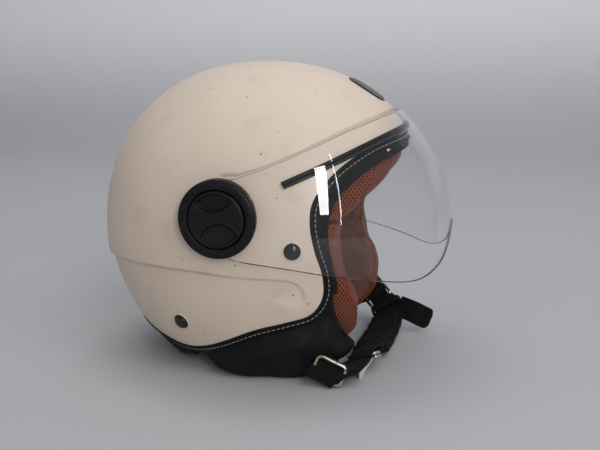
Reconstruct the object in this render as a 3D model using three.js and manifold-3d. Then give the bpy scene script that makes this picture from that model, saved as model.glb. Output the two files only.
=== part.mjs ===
// Open face motorcycle helmet with a bubble visor, millimetres, +Z up.
// The wearer looks along -Y and the wearer's left is +X. z = 0 is the table that the helmet rests on.
// Every layer of the helmet is a slice between two nested egg-shaped bodies, and its rim is cut by an
// outline drawn in side view (y, z) and pushed straight across the helmet along X.

import * as THREE from 'three';
import { mergeVertices } from 'three/addons/utils/BufferGeometryUtils.js';
import Module from 'manifold-3d';

const wasm = await Module();
wasm.setup();

// ---- driving dimensions ------------------------------------------------------------------------

const CENTRE_Y = 10.4;
const CENTRE_Z = 108;
const HALF_WIDTH = 115;
const REACH_REAR = 139.2;
const REACH_FRONT = 146.5;
const REACH_UP = 141;
const REACH_DOWN = 143;
const WIDTH_POWER = 2.3;
const UPPER_POWER = 2.17;
const LOWER_POWER = 1.85;

// The soft lower parts keep their width further down than the hard shell does.
const SOFT_REACH_DOWN = 165;
const SOFT_LOWER_POWER = 2.3;

// Depths below the crown surface.
const RECESS_DEPTH = 1.8;
const LOWER_STEP_DEPTH = 3.2;
const SHELL_INSIDE = 6;
const STRAP_SPACE = 10;
const EPS_INSIDE = 28;
const LINER_INSIDE = 35;
const FIT_GAP = 0.3;

const HUB_Y = 18.9;
const HUB_Z = 134.7;
const HUB_RADIUS = 29.8;
const KNOB_RADIUS = 21.6;
const HUB_BOSS_COUNT = 12;

const VISOR_HALF_WIDTH = 120;
const VISOR_REACH = 160;
const VISOR_REACH_UP = 145.4;
const VISOR_REACH_DOWN = 150;
const VISOR_THICKNESS = 1.8;

const STRAP_THICKNESS = 1.5;
const STRAP_WIDTH = 22;
const FAR = 170;
const MESH_TOLERANCE = 0.1;

// ---- side-view curves, each a list of (y, z) ----------------------------------------------------

// Free edge of the hard shell: brow, cheek, jaw corner, lower side, nape.
const SHELL_EDGE = curve([
  [-150, 204], [-111, 191.5], [-88, 183.7], [-65, 167.5], [-50, 147.5], [-47.3, 130], [-50.5, 110],
  [-56, 90], [-55.5, 72], [-46, 58], [-27, 51.5], [0, 43.3], [36, 27.4], [60, 22.3], [85, 27],
  [112, 35], [150, 41],
], 44);

// Where the leatherette facing meets the mesh fabric.
const FACING_EDGE = curve([
  [-150, 194], [-106, 180], [-88, 171.5], [-73, 160.5], [-60, 146], [-55.5, 125], [-58, 103],
  [-62.5, 80], [-63, 58], [-69, 40], [-76, 28],
], 30);

// Front limit of the padding.
const PADDING_EDGE = curve([
  [-150, 190], [-113.5, 182], [-99, 159], [-78, 138], [-67.5, 122], [-65, 105], [-70, 87],
  [-78.5, 68], [-78.5, 50], [-74, 34], [-64, 22],
], 30);

// Moulded step that the top edge of the visor lies against.
const UPPER_STEP = [
  [HUB_Y, 165.5], [5.5, 166.2], [-12.3, 171.3], [-39.3, 182.5], [-72.9, 198.3], [-95, 207], [-150, 226],
];

// Moulded step round the lower side and the nape.
const LOWER_STEP = [
  [FAR, 90], [107, 92.5], [47, 91.6], [8, 88], [-28, 86.4], [-38.5, 82.4], [-42.4, 74], [-41, 60],
];

// ---- helpers: solids and outlines ---------------------------------------------------------------

function curve(points, segments) {
  const spline = new THREE.SplineCurve(points.map(([y, z]) => new THREE.Vector2(y, z)));
  return spline.getSpacedPoints(segments).map((point) => [point.x, point.y]);
}

// Moves a side-view curve sideways; positive values move it into the opening of the helmet.
function offsetCurve(points, distance) {
  return points.map((point, i) => {
    const before = points[Math.max(i - 1, 0)];
    const after = points[Math.min(i + 1, points.length - 1)];
    const dy = after[0] - before[0];
    const dz = after[1] - before[1];
    const length = Math.hypot(dy, dz);
    return [point[0] + (dz / length) * distance, point[1] - (dy / length) * distance];
  });
}

function band(points, from, to) {
  return [...offsetCurve(points, from), ...offsetCurve(points, to).reverse()];
}

function solid(geometry) {
  const bare = geometry.clone();
  bare.deleteAttribute('normal');
  bare.deleteAttribute('uv');
  const merged = mergeVertices(bare, 1e-4);
  return new wasm.Manifold(new wasm.Mesh({
    numProp: 3,
    vertProperties: new Float32Array(merged.attributes.position.array),
    triVerts: new Uint32Array(merged.index.array),
  }));
}

function geometryOf(manifold) {
  const mesh = manifold.simplify(MESH_TOLERANCE).getMesh();
  const geometry = new THREE.BufferGeometry();
  geometry.setAttribute('position', new THREE.BufferAttribute(new Float32Array(mesh.vertProperties), 3));
  geometry.setIndex(Array.from(mesh.triVerts));
  return geometry;
}

// Cuts leave slivers where two faces nearly meet: only the piece itself is kept.
function wholePiece(manifold) {
  return manifold.decompose().reduce((best, body) => (body.volume() > best.volume() ? body : best));
}

// A side-view outline pushed along X from one plane to another.
const SIDE_VIEW = new THREE.Matrix4().makeBasis(
  new THREE.Vector3(0, 1, 0),
  new THREE.Vector3(0, 0, 1),
  new THREE.Vector3(1, 0, 0),
);

function plate(points, fromX = -FAR, toX = FAR) {
  const shape = new THREE.Shape(points.map(([y, z]) => new THREE.Vector2(y, z)));
  const geometry = new THREE.ExtrudeGeometry(shape, { depth: toX - fromX, bevelEnabled: false });
  return solid(geometry.applyMatrix4(SIDE_VIEW).translate(fromX, 0, 0));
}

// An egg-shaped closed body: rings of constant angle round the X axis, poles at its two sides.
function eggBody(egg, depth) {
  const rings = 14;
  const spokes = 32;
  const at = (angle, t) => {
    const side = sidePoint(egg, depth, angle);
    const reach = Math.sin(t) ** (2 / WIDTH_POWER);
    const width = Math.sign(Math.cos(t)) * Math.abs(Math.cos(t)) ** (2 / WIDTH_POWER);
    return [(egg.halfWidth - depth) * width, CENTRE_Y + side[0] * reach, CENTRE_Z + side[1] * reach];
  };
  const positions = [egg.halfWidth - depth, CENTRE_Y, CENTRE_Z];
  for (let ring = 1; ring < rings; ring += 1) {
    for (let spoke = 0; spoke < spokes; spoke += 1) {
      positions.push(...at((spoke / spokes) * 2 * Math.PI, (ring / rings) * Math.PI));
    }
  }
  positions.push(depth - egg.halfWidth, CENTRE_Y, CENTRE_Z);
  const last = positions.length / 3 - 1;
  const index = [];
  for (let spoke = 0; spoke < spokes; spoke += 1) {
    const next = (spoke + 1) % spokes;
    index.push(0, 1 + spoke, 1 + next);
    for (let ring = 0; ring < rings - 2; ring += 1) {
      const a = 1 + ring * spokes;
      const b = a + spokes;
      index.push(a + spoke, b + spoke, b + next, a + spoke, b + next, a + next);
    }
    const edge = 1 + (rings - 2) * spokes;
    index.push(last, edge + next, edge + spoke);
  }
  const geometry = new THREE.BufferGeometry();
  geometry.setAttribute('position', new THREE.BufferAttribute(new Float32Array(positions), 3));
  geometry.setIndex(index);
  return solid(geometry);
}

function sidePoint(egg, depth, angle) {
  const c = Math.cos(angle);
  const s = Math.sin(angle);
  const power = s >= 0 ? egg.upperPower : egg.lowerPower;
  const reachY = (c >= 0 ? egg.rear : egg.front) - depth;
  const reachZ = (s >= 0 ? egg.up : egg.down) - depth;
  const r = ((Math.abs(c) / reachY) ** power + (Math.abs(s) / reachZ) ** power) ** (-1 / power);
  return [r * c, r * s];
}

// Half width of an egg at a point of the side view.
function halfWidthAt(egg, depth, y, z) {
  const angle = Math.atan2(z - CENTRE_Z, y - CENTRE_Y);
  const side = sidePoint(egg, depth, angle);
  const rho = Math.hypot(y - CENTRE_Y, z - CENTRE_Z) / Math.hypot(side[0], side[1]);
  return (egg.halfWidth - depth) * (1 - rho ** WIDTH_POWER) ** (1 / WIDTH_POWER);
}

const HARD = {
  halfWidth: HALF_WIDTH,
  rear: REACH_REAR,
  front: REACH_FRONT,
  up: REACH_UP,
  down: REACH_DOWN,
  upperPower: UPPER_POWER,
  lowerPower: LOWER_POWER,
};
const SOFT = { ...HARD, down: SOFT_REACH_DOWN, lowerPower: SOFT_LOWER_POWER };
const BUBBLE = {
  halfWidth: VISOR_HALF_WIDTH,
  rear: VISOR_REACH,
  front: VISOR_REACH,
  up: VISOR_REACH_UP,
  down: VISOR_REACH_DOWN,
  upperPower: 1.97,
  lowerPower: 1.97,
};

const hard = (depth) => eggBody(HARD, depth);
const soft = (depth) => eggBody(SOFT, depth);
const bubble = (depth) => eggBody(BUBBLE, depth);
const layer = (outer, inner) => outer.subtract(inner);

// Everything on the open side of the shell edge, moved into the opening by a distance.
function openSide(distance) {
  return plate([...offsetCurve(SHELL_EDGE, distance), [FAR, 41], [FAR, -60], [-220, -60], [-220, 204]]);
}

// Turned pieces: profile is a list of (radius, height) that starts and ends on the axis.
function turned(profile, sides = 24) {
  return new THREE.LatheGeometry(profile.map(([r, h]) => new THREE.Vector2(r, h)), sides);
}

const ALONG_X = new THREE.Matrix4().makeBasis(
  new THREE.Vector3(0, 1, 0),
  new THREE.Vector3(1, 0, 0),
  new THREE.Vector3(0, 0, -1),
);

// A disc or ring on the hub axis of the wearer's left side.
function hubTurned(profile, sides) {
  return solid(turned(profile, sides).applyMatrix4(ALONG_X).translate(0, HUB_Y, HUB_Z));
}

function disc(radius, from, to, sides) {
  return hubTurned([[0, from], [radius, from], [radius, to], [0, to]], sides);
}

function mirrored(geometry) {
  const copy = geometry.clone();
  copy.scale(-1, 1, 1);
  const index = Array.from(copy.index.array);
  for (let i = 0; i < index.length; i += 3) {
    [index[i + 1], index[i + 2]] = [index[i + 2], index[i + 1]];
  }
  copy.setIndex(index);
  return copy;
}

// A flat strap: stations hold a centre point and the direction across its width.
function webbing(stations, width, thickness) {
  const centres = stations.map((station) => new THREE.Vector3(...station.at));
  const positions = [];
  stations.forEach((station, i) => {
    const along = centres[Math.min(i + 1, centres.length - 1)].clone().sub(centres[Math.max(i - 1, 0)]);
    const across = new THREE.Vector3(...station.across).normalize();
    const face = across.clone().cross(along).normalize();
    const half = face.multiplyScalar(thickness / 2);
    const side = across.multiplyScalar(width / 2);
    [[-1, -1], [1, -1], [1, 1], [-1, 1]].forEach(([u, v]) => {
      const corner = centres[i].clone().addScaledVector(side, u).addScaledVector(half, v);
      positions.push(corner.x, corner.y, corner.z);
    });
  });
  const index = [];
  for (let i = 0; i < stations.length - 1; i += 1) {
    for (let k = 0; k < 4; k += 1) {
      const a = 4 * i + k;
      const b = 4 * i + ((k + 1) % 4);
      index.push(a, b, b + 4, a, b + 4, a + 4);
    }
  }
  const end = 4 * (stations.length - 1);
  index.push(0, 2, 1, 0, 3, 2, end, end + 1, end + 2, end, end + 2, end + 3);
  const geometry = new THREE.BufferGeometry();
  geometry.setAttribute('position', new THREE.BufferAttribute(new Float32Array(positions), 3));
  geometry.setIndex(index);
  return outward(geometry);
}

// Turns a closed geometry the right way out.
function outward(geometry) {
  const p = geometry.attributes.position;
  const index = Array.from(geometry.index.array);
  const [a, b, c] = [new THREE.Vector3(), new THREE.Vector3(), new THREE.Vector3()];
  let volume = 0;
  for (let i = 0; i < index.length; i += 3) {
    a.fromBufferAttribute(p, index[i]);
    b.fromBufferAttribute(p, index[i + 1]);
    c.fromBufferAttribute(p, index[i + 2]);
    volume += a.dot(b.cross(c));
  }
  if (volume < 0) {
    for (let i = 0; i < index.length; i += 3) {
      [index[i + 1], index[i + 2]] = [index[i + 2], index[i + 1]];
    }
    geometry.setIndex(index);
  }
  return geometry;
}

// ---- hard parts ---------------------------------------------------------------------------------

const rivets = {
  front: { y: -35, z: 109.3, depth: RECESS_DEPTH },
  rear: { y: 59.7, z: 45.8, depth: LOWER_STEP_DEPTH },
};
const RIVET_RADIUS = 5.8;
const RIVET_SHANK = 2.4;

// Frame of a rivet: its foot on the shell and the direction out of the shell.
function rivetFrame(rivet) {
  const step = 0.5;
  const at = (y, z) => halfWidthAt(HARD, rivet.depth, y, z);
  const x = at(rivet.y, rivet.z);
  const slopeY = (at(rivet.y + step, rivet.z) - at(rivet.y - step, rivet.z)) / (2 * step);
  const slopeZ = (at(rivet.y, rivet.z + step) - at(rivet.y, rivet.z - step)) / (2 * step);
  const out = new THREE.Vector3(1, -slopeY, -slopeZ).normalize();
  const turn = new THREE.Quaternion().setFromUnitVectors(new THREE.Vector3(0, 1, 0), out);
  return new THREE.Matrix4().compose(new THREE.Vector3(x, rivet.y, rivet.z), turn, new THREE.Vector3(1, 1, 1));
}

function rivetHole(rivet, radius) {
  const geometry = turned([[0, -20], [radius, -20], [radius, 8], [0, 8]], 16);
  return solid(geometry.applyMatrix4(rivetFrame(rivet)));
}

function bothSides(manifold) {
  return manifold.add(solid(mirrored(geometryOf(manifold))));
}

function outerShell() {
  const lowerZone = plate([...LOWER_STEP, [-38, -40], [FAR, -40]]);
  const recessZone = plate([...UPPER_STEP, [-FAR, 226], [-FAR, -40], [HUB_Y, -40]]);
  const outside = hard(LOWER_STEP_DEPTH)
    .add(hard(RECESS_DEPTH).subtract(lowerZone))
    .add(hard(0).subtract(lowerZone).subtract(recessZone));
  const holes = disc(5.3, 90, 130, 20)
    .add(rivetHole(rivets.front, RIVET_SHANK + FIT_GAP))
    .add(rivetHole(rivets.rear, RIVET_SHANK + FIT_GAP));
  return outside.subtract(hard(SHELL_INSIDE)).subtract(openSide(0)).subtract(bothSides(holes));
}

function edgeTrim() {
  return layer(hard(2.2), hard(SHELL_INSIDE + 0.6))
    .intersect(plate(band(SHELL_EDGE, FIT_GAP, 2.7)))
    .subtract(bothSides(strapChannel()));
}

function sealStrip() {
  const upper = [[-27, 160.8], [-54, 172.6], [-80, 184.6], [-100, 193.5], [-150, 214]];
  return layer(hard(-2), hard(RECESS_DEPTH - FIT_GAP))
    .intersect(plate(band(upper, 0, 5.5)))
    .subtract(openSide(-0.4));
}

function foreheadBadge() {
  const outline = [[-88, 212], [-58, 236], [-61, 240], [-95, 214]];
  const wide = new THREE.BoxGeometry(36, 60, 60).translate(0, -76, 226);
  return layer(hard(-1), hard(-FIT_GAP)).intersect(plate(outline)).intersect(solid(wide));
}

function visorLens() {
  const upperEdge = [[HUB_Y, 161.7], [6, 164], [-12.3, 170], [-39.3, 181.2], [-72.9, 197], [-95, 205.7]];
  const lowerEdge = curve([
    [-149.5, 118], [-148.6, 109], [-146.8, 100], [-142.5, 90], [-134, 82.8], [-122, 80.5], [-100, 84.5],
    [-63.4, 91.6], [-34.6, 97], [2.8, 102.3], [HUB_Y, 107.7],
  ], 24);
  const outline = plate([...upperEdge, [-FAR, 228], [-FAR, 118], ...lowerEdge]);
  const tabs = bothSides(disc(27, 90, 130, 32));
  const holes = bothSides(disc(8.3, 90, 130, 24));
  return layer(bubble(0), bubble(VISOR_THICKNESS)).intersect(outline.add(tabs)).subtract(holes);
}

function pivotBase() {
  const stem = disc(5, 106.2, 116, 20);
  const flange = disc(11, 111, 114.9, 24).subtract(hard(-FIT_GAP));
  const bushing = disc(8, 114.4, 120.6, 24);
  const bore = disc(3.4, 90, 130, 16);
  return stem.add(flange).add(bushing).subtract(bore);
}

function pivotCover() {
  const ring = hubTurned([
    [KNOB_RADIUS + 0.7, 110], [HUB_RADIUS, 110], [HUB_RADIUS, 123.8], [HUB_RADIUS - 1.2, 125],
    [KNOB_RADIUS + 2, 125], [KNOB_RADIUS + 0.7, 124], [KNOB_RADIUS + 0.7, 110],
  ], 32);
  const bossCircle = (HUB_RADIUS + KNOB_RADIUS) / 2 + 0.3;
  let cover = ring.subtract(bubble(-FIT_GAP));
  for (let i = 0; i < HUB_BOSS_COUNT; i += 1) {
    const angle = THREE.MathUtils.degToRad(82 + i * (360 / HUB_BOSS_COUNT));
    const boss = turned([[0, 124], [1.5, 124], [1.2, 125.7], [0, 125.7]], 6).applyMatrix4(ALONG_X);
    boss.translate(0, HUB_Y + bossCircle * Math.cos(angle), HUB_Z + bossCircle * Math.sin(angle));
    cover = cover.add(solid(boss));
  }
  return cover;
}

// The knob is a shallow cap with two finger scoops that leave a waisted grip across it.
function pivotKnob() {
  const cap = disc(KNOB_RADIUS, 121, 125.8, 32);
  const scoop = (side) => {
    const centre = new THREE.Vector2(HUB_Y + 2 * side, HUB_Z + 20.5 * side);
    const points = new THREE.EllipseCurve(centre.x, centre.y, 15, 14.5, 0, 2 * Math.PI).getPoints(20);
    return plate(points.slice(0, 20).map((point) => [point.x, point.y]), 123, FAR);
  };
  const inside = disc(KNOB_RADIUS - 2.4, 110, 130, 32);
  return cap.subtract(scoop(1).intersect(inside)).subtract(scoop(-1).intersect(inside));
}

function pivotScrew() {
  return disc(3, 99, 120.7, 16);
}

function pivotNut() {
  return disc(9, 101.5, 106, 6).subtract(disc(3.3, 90, 120, 16));
}

function rivetPiece(rivet) {
  const dome = [[0, -7.6], [RIVET_SHANK, -7.6], [RIVET_SHANK, 0.35], [RIVET_RADIUS, 0.35]];
  const arc = [30, 60].map((degrees) => {
    const angle = THREE.MathUtils.degToRad(degrees);
    return [RIVET_RADIUS * Math.cos(angle), 0.35 + 2.6 * Math.sin(angle)];
  });
  return turned([...dome, ...arc, [0, 2.95]], 14).applyMatrix4(rivetFrame(rivet));
}

// ---- straps -------------------------------------------------------------------------------------

const STRAP_DEPTH = 8.4;
const LEG_WIDTH = 17;
const WIRE = 2.8;

// Centre lines of the two bars of each strap ring, and the direction of the bars.
const ringRight = { near: [-97, -67, 17.4], far: [-98.5, -53.5, 9], bar: [0, -0.91, -0.41] };
const ringLeft = { near: [65.6, -82.5, 21.5], far: [72, -75.2, 31.5], bar: [0, -0.65, 0.76] };

// How the front leg of each side ends at its ring, both drawn on the wearer's left.
const LEG_END_LEFT = [
  { at: [82, -68, 33.5], across: [0, -0.8, 0.6] },
  { at: [74.8, -73.6, 32], across: [0, -0.65, 0.76] },
];
const LEG_END_RIGHT = [
  { at: [83, -57.5, 26], across: [0, -1, -0.2] },
  { at: [83.5, -56.5, 15.5], across: [0, -0.95, -0.3] },
  { at: [89, -54.5, 10.5], across: [0, -0.91, -0.41] },
  { at: [95.8, -53.6, 9.4], across: [0, -0.91, -0.41] },
];

// Routes of the two legs in side view: (y, z, how far the leg has left the shell for the soft skirt).
const LEG_FRONT = [
  [-35, 113, 0], [-36, 104, 0], [-40, 92, 0], [-46, 75, 0], [-51, 60, 0], [-55, 45, 0.6], [-58, 36, 1],
];
const LEG_REAR = [
  [60.5, 48, 0], [50, 41, 0], [38, 33, 0], [22, 25.5, 0], [6, 20, 0.6], [-12, 18.5, 1], [-36, 18.5, 1],
];

// Leg of webbing on the inside of the shell, then free of it towards the strap ring.
function strapLeg(route, freeEnd = [], width = LEG_WIDTH, thickness = STRAP_THICKNESS) {
  const stations = route.map(([y, z, leave], i) => {
    const onPath = ([v, w]) => {
      const held = halfWidthAt(HARD, STRAP_DEPTH, v, w);
      const loose = halfWidthAt(SOFT, STRAP_DEPTH, v, w);
      return new THREE.Vector3(THREE.MathUtils.lerp(held, loose, leave), v, w);
    };
    const next = route[Math.min(i + 1, route.length - 1)];
    const last = route[Math.max(i - 1, 0)];
    const along = onPath(next).sub(onPath(last));
    const centre = onPath([y, z]);
    const slopeY = onPath([y + 1, z]).x - centre.x;
    const slopeZ = onPath([y, z + 1]).x - centre.x;
    const across = new THREE.Vector3(1, -slopeY, -slopeZ).cross(along).normalize();
    return { at: centre.toArray(), across: across.toArray() };
  });
  const sense = Math.sign(stations[stations.length - 1].across[1]);
  const free = freeEnd.map(({ at, across }) => ({
    at,
    across: across.map((value) => value * sense * Math.sign(across[1])),
  }));
  return webbing([...stations, ...free], width, thickness);
}

// Room for both legs, to be cut from the padding.
function strapChannel(freeEnd = []) {
  const room = (route, end) => solid(strapLeg(route, end, LEG_WIDTH + 1.6, STRAP_THICKNESS + 1.8));
  return room(LEG_FRONT, freeEnd).add(room(LEG_REAR));
}

function rivetedLeg(rivet, route, freeEnd) {
  return geometryOf(solid(strapLeg(route, freeEnd)).subtract(rivetHole(rivet, RIVET_SHANK + FIT_GAP)));
}

function place(geometry, centre, xAxis, yAxis) {
  const x = new THREE.Vector3(...xAxis).normalize();
  const z = x.clone().cross(new THREE.Vector3(...yAxis)).normalize();
  const y = z.clone().cross(x);
  geometry.applyMatrix4(new THREE.Matrix4().makeBasis(x, y, z));
  return geometry.translate(...centre);
}

function frameOf(outer, inner, depth) {
  outer.holes.push(inner);
  return new THREE.ExtrudeGeometry(outer, { depth, bevelEnabled: false, curveSegments: 8 })
    .translate(0, 0, -depth / 2);
}

function roundedRect(path, width, height, radius) {
  const [w, h] = [width / 2 - radius, height / 2 - radius];
  path.absarc(w, h, radius, 0, Math.PI / 2);
  path.absarc(-w, h, radius, Math.PI / 2, Math.PI);
  path.absarc(-w, -h, radius, Math.PI, 1.5 * Math.PI);
  path.absarc(w, -h, radius, 1.5 * Math.PI, 2 * Math.PI);
  return path;
}

function strapRing({ near, far, bar }) {
  const toFar = far.map((value, i) => value - near[i]);
  const centre = near.map((value, i) => (value + far[i]) / 2);
  const span = Math.hypot(...toFar);
  const outer = roundedRect(new THREE.Shape(), 24 + WIRE, span + WIRE, 3.4);
  const inner = roundedRect(new THREE.Path(), 24 - WIRE, span - WIRE, 1);
  return place(frameOf(outer, inner, WIRE), centre, bar, toFar);
}

// Half-round ring with one straight bar.
function dRing(centre) {
  const outline = (path, radius) => {
    path.absarc(0, 0, radius, 0, Math.PI);
    path.lineTo(-radius, -3.5 - (radius - 11.5));
    path.lineTo(radius, -3.5 - (radius - 11.5));
    return path;
  };
  const ring = frameOf(outline(new THREE.Shape(), 14.2), outline(new THREE.Path(), 11.5), 2.4);
  return place(ring, centre, [-0.22, -0.9, 0.3], [0.93, -0.3, -0.2]);
}

const CHIN_ROUTE = [
  { at: [63.9, -85, 20.2], across: [0, -0.66, 0.75] },
  { at: [60, -88, 19.2], across: [0, -0.8, 0.6] },
  { at: [54, -90, 17.2], across: [0, -0.9, 0.4] },
  { at: [49.5, -90.1, 15.2], across: [0, -0.93, 0.32] },
  { at: [43, -90, 12.4], across: [0, -0.96, 0.25] },
  { at: [33, -89, 9], across: [0, -0.99, 0.14] },
  { at: [18, -87, 5.8], across: [0, -1, 0.05] },
  { at: [0, -85, 4.4], across: [0, -1, 0] },
  { at: [-16, -84, 4.8], across: [0, -1, 0.06] },
  { at: [-30, -83.5, 7], across: [0, -1, 0.16] },
  { at: [-38, -84, 8.6], across: [0, -1, 0.3] },
];

function chinStrapLong() {
  return webbing(CHIN_ROUTE, STRAP_WIDTH, STRAP_THICKNESS);
}

function chinPad() {
  const covered = CHIN_ROUTE.slice(3, 10);
  const sleeve = solid(webbing(covered, 31, 7));
  return sleeve.subtract(solid(webbing(CHIN_ROUTE, STRAP_WIDTH + 0.8, STRAP_THICKNESS + 0.8)));
}

function chinStrapShort() {
  return webbing([
    { at: [-94.6, -68.6, 16.4], across: [0, -0.91, -0.41] },
    { at: [-86, -73.5, 12.8], across: [-0.1, -0.95, -0.1] },
    { at: [-76, -76, 11.6], across: [-0.2, -0.95, 0.2] },
    { at: [-68, -78.6, 12], across: [-0.22, -0.9, 0.3] },
  ], 17, STRAP_THICKNESS);
}

function strapTail() {
  return webbing([
    { at: [47.8, -108.6, 22.3], across: [0.22, -0.14, 0.97] },
    { at: [45.2, -113.4, 20], across: [0.2, -0.2, 0.96] },
    { at: [44.6, -121.3, 16.5], across: [0.22, -0.33, 0.92] },
    { at: [45, -130, 12.4], across: [0.27, -0.45, 0.85] },
  ], 20, STRAP_THICKNESS);
}

function strapKeeper() {
  const centre = new THREE.Vector3(...CHIN_ROUTE[1].at);
  const along = new THREE.Vector3(...CHIN_ROUTE[2].at).sub(centre);
  const across = [0, -0.8, 0.6];
  const from = centre.clone().addScaledVector(along.normalize(), -4);
  const to = centre.clone().addScaledVector(along, 4);
  const block = (grow, width, thickness) => solid(webbing([
    { at: from.clone().addScaledVector(along, -grow).toArray(), across },
    { at: to.clone().addScaledVector(along, grow).toArray(), across },
  ], width, thickness));
  return block(0, 31, 9.8).subtract(block(3, 28, 7));
}

// ---- padding ------------------------------------------------------------------------------------

const EPS_FLOOR = [[-60, 112], [-20, 108], [25, 86], [60, 56], [100, 46], [FAR, 46]];

const aboveFloor = (drop) => plate([
  ...EPS_FLOOR.map(([y, z]) => [y, z - drop]), [FAR, 300], [-FAR, 300], [-FAR, 112 - drop],
]);

function hubPocket() {
  return disc(10, 97, 112, 20);
}

function epsLiner() {
  return layer(hard(SHELL_INSIDE + FIT_GAP), hard(EPS_INSIDE))
    .intersect(aboveFloor(0))
    .subtract(openSide(-FIT_GAP))
    .subtract(bothSides(hubPocket()))
    .subtract(bothSides(strapChannel().add(rivetHole(rivets.front, RIVET_SHANK + 1))));
}

function crownLiner() {
  return layer(hard(EPS_INSIDE + FIT_GAP), hard(LINER_INSIDE))
    .intersect(aboveFloor(0))
    .subtract(openSide(-FIT_GAP));
}

function browPad() {
  const front = PADDING_EDGE.filter(([, z]) => z > 128.5);
  const outline = [...front, [-67, 128.5], [-30, 128.5], [-30, 240], [-150, 240]];
  return layer(hard(STRAP_SPACE), hard(LINER_INSIDE - 3)).intersect(plate(outline)).intersect(openSide(FIT_GAP));
}

// Space kept free for the jaw, in plan view (x, y).
function jawSpace() {
  const right = [[54, -120], [58, -70], [63, -20], [69, 20], [72, 60], [60, 92]];
  const points = [...right, ...right.map(([x, y]) => [-x, y]).reverse()];
  const shape = new THREE.Shape(points.map(([x, y]) => new THREE.Vector2(x, y)));
  return solid(new THREE.ExtrudeGeometry(shape, { depth: 170, bevelEnabled: false }).translate(0, 0, -20));
}

function cheekPad(legEnd) {
  const front = PADDING_EDGE.filter(([, z]) => z < 127);
  const outline = [
    [-46, 128], [-66.5, 128], ...front, [-56, 14], [-44, 5], [-24, 0], [10, 0], [24, 5], [38, 14], [48, 24],
    [50, 62], [25, 85], [-20, 107], [-46, 111],
  ];
  const outer = soft(STRAP_SPACE + 1).intersect(openSide(3.4)).add(hard(STRAP_SPACE));
  const left = new THREE.BoxGeometry(FAR, 400, 400).translate(FAR / 2 + 1, 0, 200);
  return wholePiece(outer
    .intersect(plate(outline))
    .intersect(solid(left))
    .subtract(jawSpace())
    .subtract(aboveFloor(0.4).subtract(openSide(FIT_GAP)))
    .subtract(strapChannel(legEnd)));
}

function cheekSkirt(legEnd) {
  const top = SHELL_EDGE.filter(([y, z]) => z < 60 && y < 46);
  const outline = [
    ...offsetCurve(top, 3.1).reverse(), [-61.5, 61], [-68, 42], [-74.5, 29], [-64, 24.5], [-52, 20],
    [-43, 10], [-38, 0], [12, 0], [26, 3], [38, 10],
  ];
  const left = new THREE.BoxGeometry(FAR, 400, 400).translate(FAR / 2 + 1, 0, 200);
  return wholePiece(layer(soft(2.6), soft(6.6))
    .intersect(plate(outline))
    .intersect(solid(left))
    .subtract(strapChannel(legEnd)));
}

function faceBorder() {
  const edge = offsetCurve(SHELL_EDGE, 3.1).filter(([y, z]) => z > 62 && y < 0);
  const facing = FACING_EDGE.filter(([, z]) => z > 62);
  return layer(soft(3.4), soft(STRAP_SPACE - FIT_GAP)).intersect(plate([...edge, ...facing.reverse()]));
}

function neckRoll() {
  const edge = offsetCurve(SHELL_EDGE, 3.1).filter(([y, z]) => y > 52 && z < 80);
  const outline = [...edge, [FAR, 0], [76, 0], [52, 11]];
  return layer(hard(4), hard(24)).intersect(plate(outline));
}

function napePad() {
  const outline = [[54, 26], [62, 24], [90, 31], [112, 38], [FAR, 44], [FAR, 45.5], [100, 45.5], [60, 55.5], [54, 60]];
  return layer(hard(STRAP_SPACE), hard(LINER_INSIDE)).intersect(plate(outline));
}

const GROUP = new THREE.Group();

function add(name, geometry, [color, roughness, metalness]) {
  const mesh = new THREE.Mesh(geometry, new THREE.MeshStandardMaterial({ color, roughness, metalness }));
  mesh.name = name;
  GROUP.add(mesh);
}

function addPair(name, geometry, look) {
  add(`${name}_left`, geometry, look);
  add(`${name}_right`, mirrored(geometry), look);
}

add('outer_shell', geometryOf(outerShell()), [0xe6d9bf, 0.35, 0]);
add('eps_liner', geometryOf(epsLiner()), [0x2b2b2b, 0.95, 0]);
add('crown_liner', geometryOf(crownLiner()), [0x9a4a2c, 0.95, 0]);
add('brow_pad', geometryOf(browPad()), [0xa04c2b, 0.95, 0]);
add('cheek_pad_left', geometryOf(cheekPad(LEG_END_LEFT)), [0x8f5a44, 0.95, 0]);
add('cheek_pad_right', mirrored(geometryOf(cheekPad(LEG_END_RIGHT))), [0x8f5a44, 0.95, 0]);
add('cheek_skirt_left', geometryOf(cheekSkirt(LEG_END_LEFT)), [0x1c1c20, 0.6, 0]);
add('cheek_skirt_right', mirrored(geometryOf(cheekSkirt(LEG_END_RIGHT))), [0x1c1c20, 0.6, 0]);
add('face_border', geometryOf(faceBorder()), [0x1c1c20, 0.6, 0]);
add('neck_roll', geometryOf(neckRoll()), [0x1c1c20, 0.7, 0]);
add('nape_pad', geometryOf(napePad()), [0x8f5a44, 0.95, 0]);
add('edge_trim', geometryOf(edgeTrim()), [0x141416, 0.6, 0]);
add('visor_seal_strip', geometryOf(sealStrip()), [0x121214, 0.6, 0]);
add('forehead_badge', geometryOf(foreheadBadge()), [0x303034, 0.4, 0]);
add('visor_lens', geometryOf(visorLens()), [0xdfe5e8, 0.05, 0]);
addPair('pivot_base', geometryOf(pivotBase()), [0x1a1a1c, 0.5, 0]);
addPair('pivot_cover', geometryOf(pivotCover()), [0x161618, 0.5, 0]);
addPair('pivot_knob', geometryOf(pivotKnob()), [0x161618, 0.5, 0]);
addPair('pivot_screw', geometryOf(pivotScrew()), [0x8a8c90, 0.4, 0.9]);
addPair('pivot_nut', geometryOf(pivotNut()), [0x8a8c90, 0.4, 0.9]);
addPair('strap_rivet_front', rivetPiece(rivets.front), [0x101012, 0.2, 0]);
addPair('strap_rivet_rear', rivetPiece(rivets.rear), [0x101012, 0.2, 0]);

const BLACK_WEBBING = [0x17171b, 0.85, 0];
const CHROME = [0xc9ccd0, 0.15, 1];

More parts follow.
